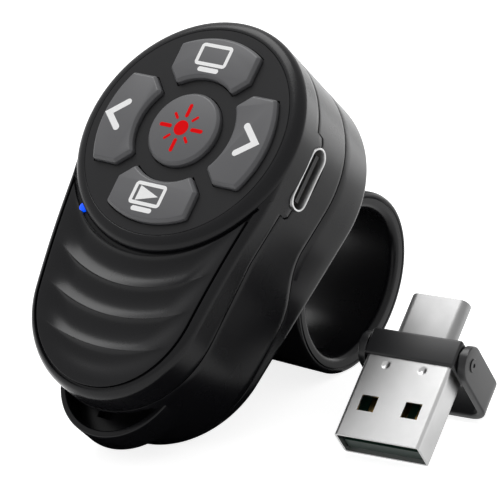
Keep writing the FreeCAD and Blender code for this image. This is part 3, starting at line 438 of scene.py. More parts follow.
def top_height(distance):
    """Crown outside the bezel, less the scoops and channels, rolled off at the outline."""
    x, y = distance * direction(ANGLES).T
    inset = np.maximum(inset_at(x, y), 0)
    fade = smooth_step(inset, PAD_INSET, PAD_INSET + SCOOP_FADE)
    height = crown(y) - SCOOP_DEPTH * fade * scoop_share(distance) - channel_depth(distance, inset)
    edge = HEAD_EDGE_ROUND + (RIM_ROUND - HEAD_EDGE_ROUND) * smooth_step(-y, 2.0, 9.0)
    short = np.clip(edge - inset, 0, edge)
    return height - (edge - np.sqrt(np.maximum(edge ** 2 - short ** 2, 0)))


def upper_parting(shift):
    """Height of the cover's lower edge at each outline point: level, falling to the tail, with a tab
    down to the port's middle in the right wall. Shift opens the joint on both sides of the line."""
    x, y = outline_reach(ANGLES, 0) * direction(ANGLES).T
    line_y, line_z = np.array(UPPER_PARTING).T
    height = np.interp(y, line_y, line_z)
    tab_y, tab_z = np.array(PORT_TAB).T
    tab_y = tab_y + shift * np.where(tab_y < 0, 1, -1)
    tab = np.interp(y, tab_y, tab_z, left=0, right=0)
    return np.where((x > 0) & (tab < height), tab, height) + shift


def lower_parting(shift):
    """Height of the back cover's upper edge: an S that drops towards the tail, softened along y."""
    y = outline_reach(ANGLES, 0) * np.sin(ANGLES)
    line_y, line_z = np.array(LOWER_PARTING).T
    nearby = np.linspace(-LOWER_PARTING_SPREAD, LOWER_PARTING_SPREAD, 9)[:, None]
    return np.interp(y[None, :] + nearby, line_y, line_z).mean(0) + shift


def wall_inset(height):
    """How far the outer wall is drawn in at a height, by the round along the back."""
    below = np.clip(BACK_ROUND - BODY_DEPTH - height, 0, BACK_ROUND)
    return BACK_ROUND - np.sqrt(BACK_ROUND ** 2 - below ** 2)


def wall_row(inset, height):
    return at_angles(outline_reach(ANGLES, inset + wall_inset(height)), height)


def groove_edge(height, side):
    """Rows over the rounded edge of a parting groove and into it; side is 1 on the piece above the groove."""
    return [wall_row(0.3 * GROOVE_ROUND, height + side * 0.3 * GROOVE_ROUND), wall_row(GROOVE_ROUND, height),
            wall_row(GROOVE_DEPTH, height)]


def top_cover():
    """Ring of rows from the plate's ledge over the bezel's quarter ellipse, the channel, the scoops and
    the rim, down the wall to the parting line and back inside."""
    wall = outline_reach(ANGLES, 0)
    rows = [at_angles(LEDGE_RADIUS, -PLATE_THICKNESS), at_angles(PLATE_RADIUS, -PLATE_THICKNESS),
            at_angles(PLATE_RADIUS, -0.06), at_angles(PLATE_RADIUS + 0.02, -0.02),
            at_angles(PLATE_RADIUS + 0.06, 0)]
    for turn in np.linspace(0, math.pi / 2, 22):
        rows.append(at_angles(SHOULDER_START + (HEAD_RADIUS - SHOULDER_START) * math.sin(turn),
                              -SHOULDER_FALL * (1 - math.cos(turn))))
    for distance in (HEAD_RADIUS + 0.005, HEAD_RADIUS + 0.02, PAD_START - 0.02, PAD_START, PAD_START + 0.03,
                     PAD_START + PAD_EDGE, CREST_RADII[0]):
        distance = np.minimum(distance, wall)
        rows.append(at_angles(distance, top_height(distance)))
    pad_start = np.minimum(CREST_RADII[0], wall)
    pad_end = np.maximum(outline_reach(ANGLES, PAD_INSET + 0.41), pad_start)
    for inner_crest, outer_crest in zip(CREST_RADII, CREST_RADII[1:]):
        for share in np.linspace(0, 1, 18)[1:] ** 1.6:
            distance = np.clip(inner_crest + (outer_crest - inner_crest) * share, pad_start, pad_end)
            rows.append(at_angles(distance, top_height(distance)))
    roll = RIM_ROUND * (1 - np.sin(np.linspace(0.35, math.pi / 2, 15)))
    pad_edge = PAD_INSET + np.array([0.26, 0.16, 0.09, 0.04, 0.01, -0.005])
    channel_edge = CHANNEL_INSET + np.array([0.005, -0.005, -0.04, -PAD_EDGE])
    for inset in np.concatenate([pad_edge, channel_edge, roll]):
        distance = np.maximum(outline_reach(ANGLES, inset), pad_start)
        rows.append(at_angles(distance, top_height(distance)))
    top = rows[-1][:, 2]
    edge = upper_parting(GROOVE_HALF)
    for share in (0.05, 0.2, 0.4, 0.6, 0.8, 1):
        rows.append(at_inset(0, top + (edge + GROOVE_ROUND - top) * share))
    rows += groove_edge(edge, 1) + [at_inset(inset, upper_parting(0)) for inset in (GROOVE_DEPTH, WALL)]
    inner_wall = outline_reach(ANGLES, WALL)
    for share in np.linspace(0, 1, 10):
        distance = inner_wall + (LEDGE_RADIUS - inner_wall) * share
        rows.append(at_angles(distance, crown(distance * np.sin(ANGLES)) - ROOF_THICKNESS))
    cover = add_piece("top_shell", [sweep(rows)], "clicker", "satin_black", ("top_cover",))
    cut_out(cover, [port_prism(0.05)])


def slot(width, height, inset, steps):
    """Rounded slot drawn in by inset, across and up: two straight sides and two half circles."""
    turn = np.linspace(-math.pi / 2, math.pi / 2, steps)
    half = (width - height) / 2
    reach = height / 2 - inset
    return np.stack([np.concatenate([half + reach * np.cos(turn), -half - reach * np.cos(turn)]),
                     np.concatenate([reach * np.sin(turn), -reach * np.sin(turn)])])


def port_outline(inset, x):
    """The port's slot about its middle, at one x."""
    along, up = slot(PORT_WIDTH, PORT_HEIGHT, inset, 33)
    return np.stack([np.full(len(along), x), PORT_Y + along, -PORT_DEPTH + up], -1)


def port_prism(grow):
    return sweep([port_outline(-grow, PORT_START), port_outline(-grow, HEAD_RADIUS + 2)], "capped")


def mid_housing():
    """Band of rows from the upper parting groove down the wall to the lower one and back up inside."""
    upper = upper_parting(-GROOVE_HALF)
    lower = lower_parting(GROOVE_HALF)
    rows = groove_edge(upper, -1)[::-1]
    start = upper - GROOVE_ROUND
    end = lower + GROOVE_ROUND
    for share in np.linspace(0, 1, 14):
        rows.append(wall_row(0, start + (end - start) * share))
    rows += groove_edge(lower, 1) + [wall_row(GROOVE_DEPTH, lower_parting(0))]
    for height in (lower_parting(0), upper_parting(0)):
        row = at_inset(WALL, height)
        row[:, 1] = np.maximum(row[:, 1], LOOP_RECESS_FRONT + LOOP_BACKING)
        rows.append(row)
    rows.append(at_inset(GROOVE_DEPTH, upper_parting(0)))
    housing = add_piece("side_wall", [sweep(rows)], "clicker", "satin_black", ("mid_housing",))
    cut_out(housing, [port_prism(0.05)])
    exit_hole = rod(EXIT_RADIUS, HEAD_RADIUS - 1.2, HEAD_RADIUS + 2, 0, EXIT_DEPTH)
    cut_out(housing, [turned(exit_hole, [(1, 0, 0), (0, 0, -1), (0, 1, 0)])])
    cut_out(housing, [loop_recess()])


def loop_recess():
    """Hollow behind the strap: part of a disc, cut off straight towards the body."""
    reach = LOOP_RADIUS - LOOP_THICKNESS
    return disc_segment(reach, LOOP_RECESS_FRONT, -LOOP_TOP_DEPTH - LOOP_HEIGHT - 0.6, -LOOP_TOP_DEPTH + 0.6)


def disc_segment(reach, front, low, high):
    """Disc about the loop's axis, cut off straight at y = front, between two heights."""
    slope = math.asin((front - LOOP_CENTRE_Y) / reach)
    turn = np.linspace(-math.pi - slope, slope, 60)
    outline = reach * direction(turn) + (0, LOOP_CENTRE_Y)
    return sweep([at_height(outline, z) for z in (low, high)], "capped")


def back_cover():
    """Tray: rows up its inside, over the parting groove, down the wall and round to the flat back."""
    upper = lower_parting(-GROOVE_HALF)
    floor = -BODY_DEPTH + WALL
    rows = [at_inset(WALL, floor), at_inset(WALL, lower_parting(0)), wall_row(GROOVE_DEPTH, lower_parting(0))]
    rows += groove_edge(upper, -1)[::-1]
    start = upper - GROOVE_ROUND
    end = np.minimum(start, BACK_ROUND - BODY_DEPTH)
    for share in (0, 0.25, 0.5, 0.75, 1):
        rows.append(wall_row(0, start + (end - start) * share))
    first = np.arcsin(np.clip((BACK_ROUND - BODY_DEPTH - start) / BACK_ROUND, 0, 1))
    for share in np.linspace(0, 1, 10)[1:]:
        turn = first + (math.pi / 2 - first) * share
        height = BACK_ROUND - BODY_DEPTH - BACK_ROUND * np.sin(turn)
        rows.append(at_angles(outline_reach(ANGLES, BACK_ROUND * (1 - np.cos(turn))), height))
    cover = add_piece("back_shell", [sweep(rows, "capped")], "clicker", "satin_black", ("back_cover",))
    cut_out(cover, [rod(SCREW_HOLE_RADIUS, -BODY_DEPTH - 1, SCREW_SEAT - BODY_DEPTH, x, y)
                    for x, y in screw_places()])


def screw_places():
    """Two places beside the head's middle and two beside the tail's."""
    places = []
    for reach, centre_y, degrees in SCREW_RINGS:
        x, y = reach * direction(math.radians(degrees)) + (0, centre_y)
        places += [(-x, y), (x, y)]
    return places


def case_screws():
    """Pan heads with a cross recess: depth by the distance to the nearer arm of the cross."""
    parts = []
    turn = np.linspace(0, 2 * math.pi, 72, endpoint=False)
    for x, y in screw_places():
        rows = [ring_of(radius, height - BODY_DEPTH, 72, x, y) for radius, height in (
            (SCREW_RADIUS, 4), (SCREW_RADIUS, SCREW_SEAT), (SCREW_HEAD_RADIUS, SCREW_SEAT),
            (SCREW_HEAD_RADIUS, 0.75))]
        for radius in SCREW_HEAD_RADIUS * np.sqrt(np.linspace(1, 0.0004, 40)):
            narrow = np.abs(radius * direction(turn)).min(-1)
            recess = CROSS_DEPTH * (1 - smooth_step(narrow, 0.16, 0.26)) * (1 - smooth_step(radius, 0.7, 1.0))
            dome = 0.45 * (1 - math.sqrt(max(0, 1 - (radius / 1.7) ** 2)))
            rows.append(at_height(radius * direction(turn) + (x, y), SCREW_TOP - BODY_DEPTH + dome + recess))
        parts.append(sweep(rows, "capped"))
    add_piece("screw_heads", parts, "clicker", "screw_steel", ("case_screws",))


# Finger ring

def ring_bore(angle):
    rise = np.where(np.sin(angle) > 0, RING_INNER_HIGH, RING_INNER_LOW)
    return 1 / np.hypot(np.cos(angle) / RING_INNER_HALF, np.sin(angle) / rise)


def ring_outside(angle):
    """The farther of an oval and, above its centre, a straight-sided foot that ends at the back."""
    across, up = direction(angle).T
    rise = np.where(up > 0, RING_OUTER_HALF, RING_OUTER_LOW)
    oval = 1 / np.hypot(across / RING_OUTER_HALF, up / rise)
    foot = np.minimum(RING_FOOT_HALF / np.maximum(np.abs(across), 1e-6), RING_DROP / np.maximum(up, 1e-6))
    return np.where(up > 0, np.maximum(oval, foot), oval)


def finger_ring():
    """Closed profile from the bore over a rolled lip, across the flat end with its groove, round the
    rim and back over the outside, swept round the finger hole."""
    angle = np.linspace(0, 2 * math.pi, 360, endpoint=False)
    corner = math.atan2(RING_DROP, RING_FOOT_HALF)
    angle = np.unique(np.round(np.concatenate([angle, [corner, math.pi - corner]]), 6))
    bore = ring_bore(angle)
    outside = ring_outside(angle)
    end = RING_BAND / 2
    half = [(share * (end - RING_LIP), bore) for share in (0, 0.5, 0.9)]
    for turn in np.linspace(0, math.pi / 2, 14):
        half.append((end - RING_LIP * (1 - math.sin(turn)), bore + RING_LIP * 0.75 * (1 - math.cos(turn))))
    groove = np.maximum(outside - 0.75, bore + RING_LIP * 0.75 + 0.3)
    for offset, depth in ((-0.14, 0), (-0.07, 0.1), (0, 0.14), (0.07, 0.1), (0.14, 0)):
        half.append((end - depth, groove + offset))
    for turn in np.linspace(0, math.pi / 2, 8):
        half.append((end - RING_RIM * (1 - math.cos(turn)), outside - RING_RIM * (1 - math.sin(turn))))
    half.append((0.5 * end, outside))
    profile = half + [(-x, reach) for x, reach in half[::-1]]
    rows = [np.stack([np.full(len(angle), x), RING_CENTRE_Y + reach * np.cos(angle),
                      -RING_CENTRE_DEPTH + reach * np.sin(angle)], -1) for x, reach in profile]
    add_piece("ring_band", [sweep(rows)], "clicker", "satin_black", ("finger_ring",))


def rounded_rectangle(width, height, radius, inset=0):
    """Outline with quarter round corners, drawn in by inset."""
    reach = max(radius - inset, 1e-4)
    centre = np.array([width, height]) / 2 - max(radius, inset)
    corners = []
    for quarter, side in enumerate(((1, 1), (-1, 1), (-1, -1), (1, -1))):
        turn = np.linspace(0, math.pi / 2, 6) + quarter * math.pi / 2
        corners.append(centre * side + reach * direction(turn))
    return np.concatenate(corners)


def lanyard_loop():
    """Rounded strap section swept along an arc round the tail."""
    middle = LOOP_RADIUS - LOOP_THICKNESS / 2
    slope = math.asin((LOOP_END_Y - LOOP_CENTRE_Y) / middle)
    rows = []
    for turn in np.linspace(-math.pi - slope, slope, 90):
        section = rounded_rectangle(LOOP_THICKNESS, LOOP_HEIGHT, 0.22)
        reach = middle + section[:, 0]
        rows.append(np.stack([reach * math.cos(turn), LOOP_CENTRE_Y + reach * math.sin(turn),
                              -LOOP_TOP_DEPTH - LOOP_HEIGHT / 2 + section[:, 1]], -1))
    add_piece("loop_strap", [sweep(rows, "capped")] + loop_floor(), "clicker", "satin_black",
              ("lanyard_loop",))


def loop_floor():
    """Thin floor at the strap's lower edge: a crescent, and a lobe on each side of the cord's hole."""
    reach = LOOP_RADIUS - LOOP_THICKNESS / 2
    low = -LOOP_TOP_DEPTH - LOOP_HEIGHT + 0.02
    high = low + LOOP_FLOOR
    arc_y = np.linspace(LOOP_FLOOR_FRONT - 0.01, LOOP_RECESS_FRONT - 0.02, 12)
    arc = reach * direction(np.arcsin((arc_y - LOOP_CENTRE_Y) / reach)) + (0, LOOP_CENTRE_Y)
    lobe = np.concatenate([[(CORD_HOLE_HALF, arc[0, 1])], arc, [(CORD_HOLE_HALF, arc[-1, 1])]])
    lobes = [sweep([at_height(lobe * (side, 1), z) for z in (low, high)], "capped") for side in (-1, 1)]
    return [disc_segment(reach, LOOP_FLOOR_FRONT, low, high)] + lobes


# Buttons and their marks

def arc_outline():
    """Outline of an arc button drawn in by its corner radius, and the outward direction at each point,
    which fans out at the corners."""
    grow = -BUTTON_CORNER
    half = ARC_HALF_WIDTH + grow
    outer = ARC_OUTER_RADIUS + grow
    inner = ARC_INNER_RADIUS - grow
    slant = ARC_SLANT - grow * math.sqrt(2)
    inner_x = (-slant + math.sqrt(2 * inner ** 2 - slant ** 2)) / 2
    outer_turn = math.acos(half / outer)
    inner_turn = math.atan2(inner_x + slant, inner_x)
    turns = np.linspace(math.pi - outer_turn, outer_turn, 60)
    top = (outer * direction(turns), turns)
    side = (np.linspace((half, outer * math.sin(outer_turn)), (half, half + slant), 8), np.zeros(8))
    lower = (np.linspace((half, half + slant), (inner_x, inner_x + slant), 8), np.full(8, -math.pi / 4))
    turns = np.linspace(inner_turn, math.pi - inner_turn, 40)
    hollow = (inner * direction(turns), turns - math.pi)

    def mirrored(part):
        return part[0][::-1] * np.array([-1, 1]), -math.pi - part[1][::-1]

    segments = [top, side, lower, hollow, mirrored(lower), mirrored(side)]
    points = []
    facing = []
    for segment, following in zip(segments, segments[1:] + [(top[0], top[1] - 2 * math.pi)]):
        points += [segment[0], np.repeat(segment[0][-1:], 7, 0)]
        facing += [segment[1], np.linspace(segment[1][-1], following[1][0], 9)[1:-1]]
    return np.concatenate(points), direction(np.concatenate(facing))


def circle_outline():
    outward = direction(np.linspace(0, -2 * math.pi, 160, endpoint=False))
    return outward * (CENTRE_BUTTON_RADIUS - BUTTON_CORNER), outward


def button(name, outline, degrees, stem_y):
    """Cap with a rounded bevel, a flange under the plate and a stem."""
    points, outward = outline
    bevel = BUTTON_RISE - BUTTON_BEVEL
    profile = [(-FLANGE_GROW, FLANGE_LOW), (-FLANGE_GROW, FLANGE_LOW + FLANGE_THICKNESS),
               (0, FLANGE_LOW + FLANGE_THICKNESS), (0, 0), (0, bevel - 0.05), (0.02, bevel + 0.01),
               (0.06, bevel + 0.07), (0.3, BUTTON_RISE - 0.08), (0.37, BUTTON_RISE - 0.02), (0.46, BUTTON_RISE)]
    rows = [at_height(points + (BUTTON_CORNER - inset) * outward, height) for inset, height in profile]
    parts = [sweep(rows, "capped"), rod(STEM_RADIUS, STEM_LOW, FLANGE_LOW, 0, stem_y, 32)]
    turn = math.radians(degrees)
    axes = [(math.cos(turn), math.sin(turn), 0), (-math.sin(turn), math.cos(turn), 0), (0, 0, 1)]
    add_piece(name + "_cap", [turned(part, axes) for part in parts], name + "_key", "button_grey",
              (name + "_button",))


def raised(outline):
    """A thin print on a button's top, its outline given as points."""
    outline = np.asarray(outline, float)
    return sweep([at_height(outline, z) for z in MARK_SPAN], "capped")


def raised_band(outer, inner):
    low, high = MARK_SPAN
    return sweep([at_height(outer, low), at_height(outer, high), at_height(inner, high), at_height(inner, low)])


def stroke(points, width):
    """Outline of a bent line of one width, with half round ends and pointed bends."""
    points = np.asarray(points, float)
    run = np.diff(points, axis=0)
    run = run / np.linalg.norm(run, axis=1)[:, None]
    side = np.stack([-run[:, 1], run[:, 0]], -1)
    miters = side[:-1] + side[1:]
    miters *= width / (miters ** 2).sum(1)[:, None]
    turn = np.linspace(math.pi / 2, -math.pi / 2, 12)[:, None]

    def cap(end, ahead, left):
        return end + width / 2 * (np.cos(turn) * ahead + np.sin(turn) * left)

    return np.concatenate([points[1:-1] + miters, cap(points[-1], run[-1], side[-1]),
                           (points[1:-1] - miters)[::-1], cap(points[0], -run[0], -side[0])])


def monitor(low, high):
    """Screen sign: a frame with rounded corners."""
    low, high = np.array([low, high])
    outer, inner = [rounded_rectangle(*(high - low), 0.55, inset) + (low + high) / 2 for inset in (0, 0.5)]
    return raised_band(outer, inner)


def sun(x, y):
    """Light sign: a disc, four long rays and four short ones between them."""
    middle = np.array([x, y])
    parts = [raised(middle + SUN_DISC * direction(np.linspace(0, 2 * math.pi, 48, endpoint=False)))]
    for i in range(8):
        first, last, width = SUN_RAYS[i % 2]
        ray = direction(i * math.pi / 4)
        parts.append(raised(stroke([middle + first * ray, middle + last * ray], width)))
    return parts


def marks():
    screen = [monitor((-3.05, 9.10), (2.08, 12.33)), raised(stroke([(-1.73, 8.57), (0.96, 8.57)], 0.68))]
    play = [monitor((-2.95, -11.5), (2.13, -8.25)), raised(stroke([(-1.71, -12.05), (0.96, -12.05)], 0.68)),
            raised([(-2.0, -8.83), (1.3, -9.95), (-2.0, -10.95)])]
    following = [raised(stroke([(9.5, 2.05), (11.83, 0), (9.58, -1.83)], 0.9))]
    previous = [raised(stroke([(-10.13, 2.08), (-12.38, 0.07), (-10.2, -1.75)], 0.9))]
    for name, parts in (("screen", screen), ("play", play), ("next", following), ("previous", previous)):
        add_piece(name + "_mark", parts, name + "_key", "mark_white")
    add_piece("laser_mark", sun(-0.23, 0), "laser_key", "mark_red")


def lamp():
    """Small lens with a low dome at the bezel's outer edge."""
    x, y = LAMP_REACH * direction(math.radians(LAMP_DEGREES))
    rows = [ring_of(LAMP_RADIUS, LAMP_FOOT, 40, x, y), ring_of(LAMP_RADIUS, LAMP_SHOULDER, 40, x, y)]
    for turn in np.linspace(0, 1.5, 8)[1:]:
        rows.append(ring_of(LAMP_RADIUS * math.cos(turn), LAMP_SHOULDER + LAMP_DOME * math.sin(turn), 40, x, y))
    add_piece("lamp_lens", [sweep(rows, "capped")], "clicker", "lamp_blue", ("led_lens",))


def charging_port():
    """Drawn steel sleeve with a rounded mouth and a closed back."""
    profile = [(0, PORT_START), (0, PORT_FACE - 0.1), (0.03, PORT_FACE - 0.03), (0.09, PORT_FACE),
               (0.2, PORT_FACE), (0.26, PORT_FACE - 0.03), (PORT_WALL, PORT_FACE - 0.1),
               (PORT_WALL, PORT_START + PORT_WALL)]
    rows = [port_outline(inset, x) for inset, x in profile]
    add_piece("port_sleeve", [sweep(rows, "capped")], "clicker", "plug_steel", ("port_shell",))


# Receiver

def receiver_block():
    """Box with quarter round edges: a rounded section that shrinks towards both ends."""
    soft = 0.35
    end = [(soft * (1 - math.sin(a)), BLOCK[1] / 2 - soft * (1 - math.cos(a)))
           for a in np.linspace(0, math.pi / 2, 6)]
    rows = [along_y(rounded_rectangle(BLOCK[0], BLOCK[2], soft, inset), y)
            for inset, y in [(inset, -y) for inset, y in end] + end[::-1]]
    add_piece("receiver_body", [sweep(rows, "capped")], "receiver", "receiver_black",
              ("receiver_block",))


def large_plug():
    """Folded steel sleeve: an even grid round a rounded rectangle, with two windows left out above and
    below, two pressed dimples near the block, and the sheet's thickness given inwards."""
    width, height, reach = PLUG_A
    low_y = -BLOCK[1] / 2 - reach
    high_y = -BLOCK[1] / 2 + PLUG_POCKET
    window_y = -BLOCK[1] / 2 - WINDOW_REACH
    radius = 0.45
    edges_x = [side * WINDOW_OFFSET + end * WINDOW_SIDE / 2 for side in (-1, 1) for end in (-1, 1)]
    flat_x = np.unique(np.round(np.concatenate([
        np.linspace(-width / 2 + radius, width / 2 - radius, 90), edges_x]), 4))
    turn = np.linspace(0, math.pi / 2, 7)[1:-1]
    right = width / 2 - radius
    top = height / 2 - radius
    half = np.concatenate([np.stack([flat_x, np.full(len(flat_x), height / 2)], -1),
                           np.stack([right + radius * np.sin(turn), top + radius * np.cos(turn)], -1),
                           np.stack([np.full(9, width / 2), np.linspace(top, -top, 9)], -1),
                           np.stack([right + radius * np.cos(turn), -top - radius * np.sin(turn)], -1)])
    around = np.concatenate([half, -half])
    edges_y = [window_y - WINDOW_SIDE / 2, window_y + WINDOW_SIDE / 2]
    places_y = np.unique(np.round(np.concatenate([np.linspace(low_y, high_y, 100), edges_y]), 4))
    rows = np.array([along_y(around, y) for y in places_y])
    for x in (-2.8, 2.4):
        away = np.hypot(rows[..., 0] - x, rows[..., 1] + BLOCK[1] / 2 + 1.15)
        dent = 0.14 * np.clip(1 - (away / 0.5) ** 2, 0, 1) ** 0.7
        rows[..., 2] -= np.where(rows[..., 2] > height / 2 - 0.01, dent, 0)
    points, quads, caps = sweep(rows, "open")
    middle = points[quads].mean(1)
    flat = np.abs(middle[:, 2]) > height / 2 - 0.2
    gap = flat & (np.abs(np.abs(middle[:, 0]) - WINDOW_OFFSET) < WINDOW_SIDE / 2)
    gap &= np.abs(middle[:, 1] - window_y) < WINDOW_SIDE / 2
    plug = add_piece("large_plug_sleeve", [(points, quads[~gap], caps)], "receiver", "plug_steel",
                     ("plug_a_shell",))
    thick = plug.modifiers.new("thickness", "SOLIDIFY")
    thick.thickness = PLUG_A_WALL * MM
    thick.offset = -1
    settle(plug)


def small_plug():
    """Rounded slot swept along the plug, over a rounded mouth and back inside."""
    start = BLOCK[1] / 2 - PLUG_POCKET
    end = BLOCK[1] / 2 + PLUG_C[2]
    profile = [(0, start), (0, end - 0.16), (0.05, end - 0.05), (0.13, end), (0.2, end), (0.26, end - 0.03),
               (0.3, end - 0.1), (0.3, start)]
    rows = [along_y(slot(PLUG_C[0], PLUG_C[1], inset, 25).T, y) for inset, y in profile]
    add_piece("small_plug_sleeve", [sweep(rows)], "receiver", "shaded_plug_steel", ("plug_c_shell",))


def swing_bail():
    """Strap section swept along a U, its width drawn in to half rounds at the two pivots."""
    arm = BLOCK[0] / 2 + BAIL_GAP + BAIL_THICKNESS / 2
    bend = BAIL_ROUND - BAIL_THICKNESS / 2
    end = BAIL_WIDTH / 2
    bar = -BAIL_REACH + BAIL_THICKNESS / 2
    corner = bar + bend
    turn = np.linspace(0, math.pi / 2, 14)
    ease = end * (1 - np.cos(turn[1:]))
    line = [(-arm, end - e, 0, e) for e in np.concatenate([[0.003], ease])]
    line += [(-arm, z, 0, end) for z in np.linspace(-0.5, corner + 0.3, 6)]
    line += [(-arm + bend * (1 - math.cos(a)), corner - bend * math.sin(a), a, end) for a in turn]
    line += [(x, bar, math.pi / 2, end) for x in np.linspace(-arm + bend + 0.5, -0.5, 5)]
    line += [(-x, z, math.pi - a, span) for x, z, a, span in line[::-1]]
    rows = []
    for x, z, a, span in line:
        half_width = math.sqrt(max(end ** 2 - (end - span) ** 2, 1e-6))
        soft = min(0.25, 0.6 * half_width)
        section = rounded_rectangle(BAIL_THICKNESS, 2 * half_width, soft)
        outward = np.array([-math.cos(a), -math.sin(a)])
        rows.append(np.stack([x + section[:, 0] * outward[0], section[:, 1],
                              z + section[:, 0] * outward[1]], -1))
    add_piece("bail_strap", [sweep(rows, "capped")], "bail", "receiver_black", ("swing_bail",))


def bail_pins():
    """Rivet discs with a rounded edge and a small centre hole."""
    face = BLOCK[0] / 2 + BAIL_GAP + BAIL_THICKNESS + PIN_PROUD
    profile = [(PIN_RADIUS, BLOCK[0] / 2 - 1.2), (PIN_RADIUS, face - 0.06), (PIN_RADIUS - 0.06, face),
               (0.34, face), (0.28, face - 0.04), (0.26, face - 0.5)]
    part = sweep([ring_of(radius, reach, 40) for radius, reach in profile], "capped")
    parts = [turned(part, [(0, 0, -side), (0, 1, 0), (side, 0, 0)]) for side in (-1, 1)]
    add_piece("bail_rivets", parts, "receiver", "receiver_black", ("bail_pins",))


# Materials

def add_node(tree, kind, inputs, **settings):
    """New node with settings, its inputs given as values or as sockets to link."""
    node = tree.nodes.new("ShaderNode" + kind)
    for key, value in settings.items():
        setattr(node, key, value)
    for key, value in inputs.items():
        if isinstance(value, bpy.types.NodeSocket):
            tree.links.new(value, node.inputs[key])
        else:
            node.inputs[key].default_value = value
    return node


def node_group(name, inputs, outputs):
    """Empty group: its numbers in with their values, and its outputs, of which a normal is a vector."""
    group = bpy.data.node_groups.new(name, "ShaderNodeTree")
    for label, value in inputs.items():
        socket = group.interface.new_socket(name=label, in_out="INPUT", socket_type="NodeSocketFloat")
        socket.default_value = value
    for label in outputs:
        kind = "NodeSocketVector" if label == "Normal" else "NodeSocketFloat"
        group.interface.new_socket(name=label, in_out="OUTPUT", socket_type=kind)
    return group, group.nodes.new("NodeGroupInput").outputs, group.nodes.new("NodeGroupOutput").inputs


def moulded_grain():
    """Fine grain of moulded plastic: a rough patchwork and a shallow bumpy normal."""
    group, given, made = node_group("moulded_grain", {
        "Grain Scale": 5000.0, "Grain Depth": 0.1, "Roughness": 0.3, "Spread": 0.05}, ("Roughness", "Normal"))
    place = add_node(group, "TexCoord", {}).outputs["Object"]
    fine = add_node(group, "TexNoise", {"Vector": place, "Scale": given["Grain Scale"], "Detail": 2})
    bump = add_node(group, "Bump", {"Distance": 0.00003, "Strength": given["Grain Depth"],
                                    "Height": fine.outputs["Fac"]})
    broad = add_node(group, "TexNoise", {"Vector": place, "Scale": 180, "Detail": 4})
    shift = add_node(group, "Math", {0: broad.outputs["Fac"], 1: 0.5}, operation="SUBTRACT")
    spread = add_node(group, "Math", {0: shift.outputs[0], 1: given["Spread"], 2: given["Roughness"]},
                      operation="MULTIPLY_ADD")
    group.links.new(spread.outputs[0], made["Roughness"])
    group.links.new(bump.outputs["Normal"], made["Normal"])
    return group


def drawn_metal():
    """Faint brushing and tarnish of drawn sheet: roughness, colour mask and normal."""
    group, given, made = node_group("drawn_metal", {
        "Stretch Scale": 1500.0, "Depth": 0.05, "Roughness": 0.2, "Spread": 0.1},
        ("Roughness", "Tarnish", "Normal"))
    place = add_node(group, "TexCoord", {}).outputs["Object"]
    drawn = add_node(group, "Mapping", {"Vector": place, "Scale": (1.0, 0.06, 1.0)}).outputs["Vector"]
    streaks = add_node(group, "TexNoise", {"Vector": drawn, "Scale": given["Stretch Scale"], "Detail": 3})
    bump = add_node(group, "Bump", {"Distance": 0.00002, "Strength": given["Depth"],
                                    "Height": streaks.outputs["Fac"]})
    blotches = add_node(group, "TexNoise", {"Vector": place, "Scale": 350, "Detail": 5}).outputs["Fac"]
    spread = add_node(group, "Math", {0: blotches, 1: given["Spread"], 2: given["Roughness"]},
                      operation="MULTIPLY_ADD")
    group.links.new(spread.outputs[0], made["Roughness"])
    group.links.new(blotches, made["Tarnish"])
    group.links.new(bump.outputs["Normal"], made["Normal"])
    return group


GRAIN = moulded_grain()
DRAWN = drawn_metal()


def new_material(name):
    material = bpy.data.materials.new(name)
    material.use_nodes = True
    return material, material.node_tree.nodes["Principled BSDF"], material.node_tree


def plastic(name, colour, roughness, shine=0.5):
    """Moulded plastic: a dark or tinted body under the grain group's roughness and normal."""
    material, shader, tree = new_material(name)
    grained = add_node(tree, "Group", {"Roughness": roughness}, node_tree=GRAIN)
    tree.links.new(grained.outputs["Roughness"], shader.inputs["Roughness"])
    tree.links.new(grained.outputs["Normal"], shader.inputs["Normal"])
    shader.inputs["Base Color"].default_value = (*colour, 1)
    shader.inputs["Specular IOR Level"].default_value = shine
    return material


def metal(name, bright, dull, roughness, depth=0.05, spread=0.1):
    """Sheet or plated metal: its colour runs between bright and dull by the tarnish mask."""
    material, shader, tree = new_material(name)
    drawn = add_node(tree, "Group", {"Depth": depth, "Roughness": roughness, "Spread": spread}, node_tree=DRAWN)
    colour = add_node(tree, "Mix", {"A": (*bright, 1), "B": (*dull, 1), "Factor": drawn.outputs["Tarnish"]},
                      data_type="RGBA")
    tree.links.new(colour.outputs["Result"], shader.inputs["Base Color"])
    tree.links.new(drawn.outputs["Roughness"], shader.inputs["Roughness"])
    tree.links.new(drawn.outputs["Normal"], shader.inputs["Normal"])
    shader.inputs["Metallic"].default_value = 1
    return material


def lamp_glow():
    """Blue lens lit from behind."""
    material = plastic("lamp_blue_glow", (0.0, 0.03, 0.5), 0.2, 0.3)
    shader = material.node_tree.nodes["Principled BSDF"]
    shader.inputs["Emission Color"].default_value = (0.0, 0.08, 0.9, 1)
    shader.inputs["Emission Strength"].default_value = 1.0
    return material


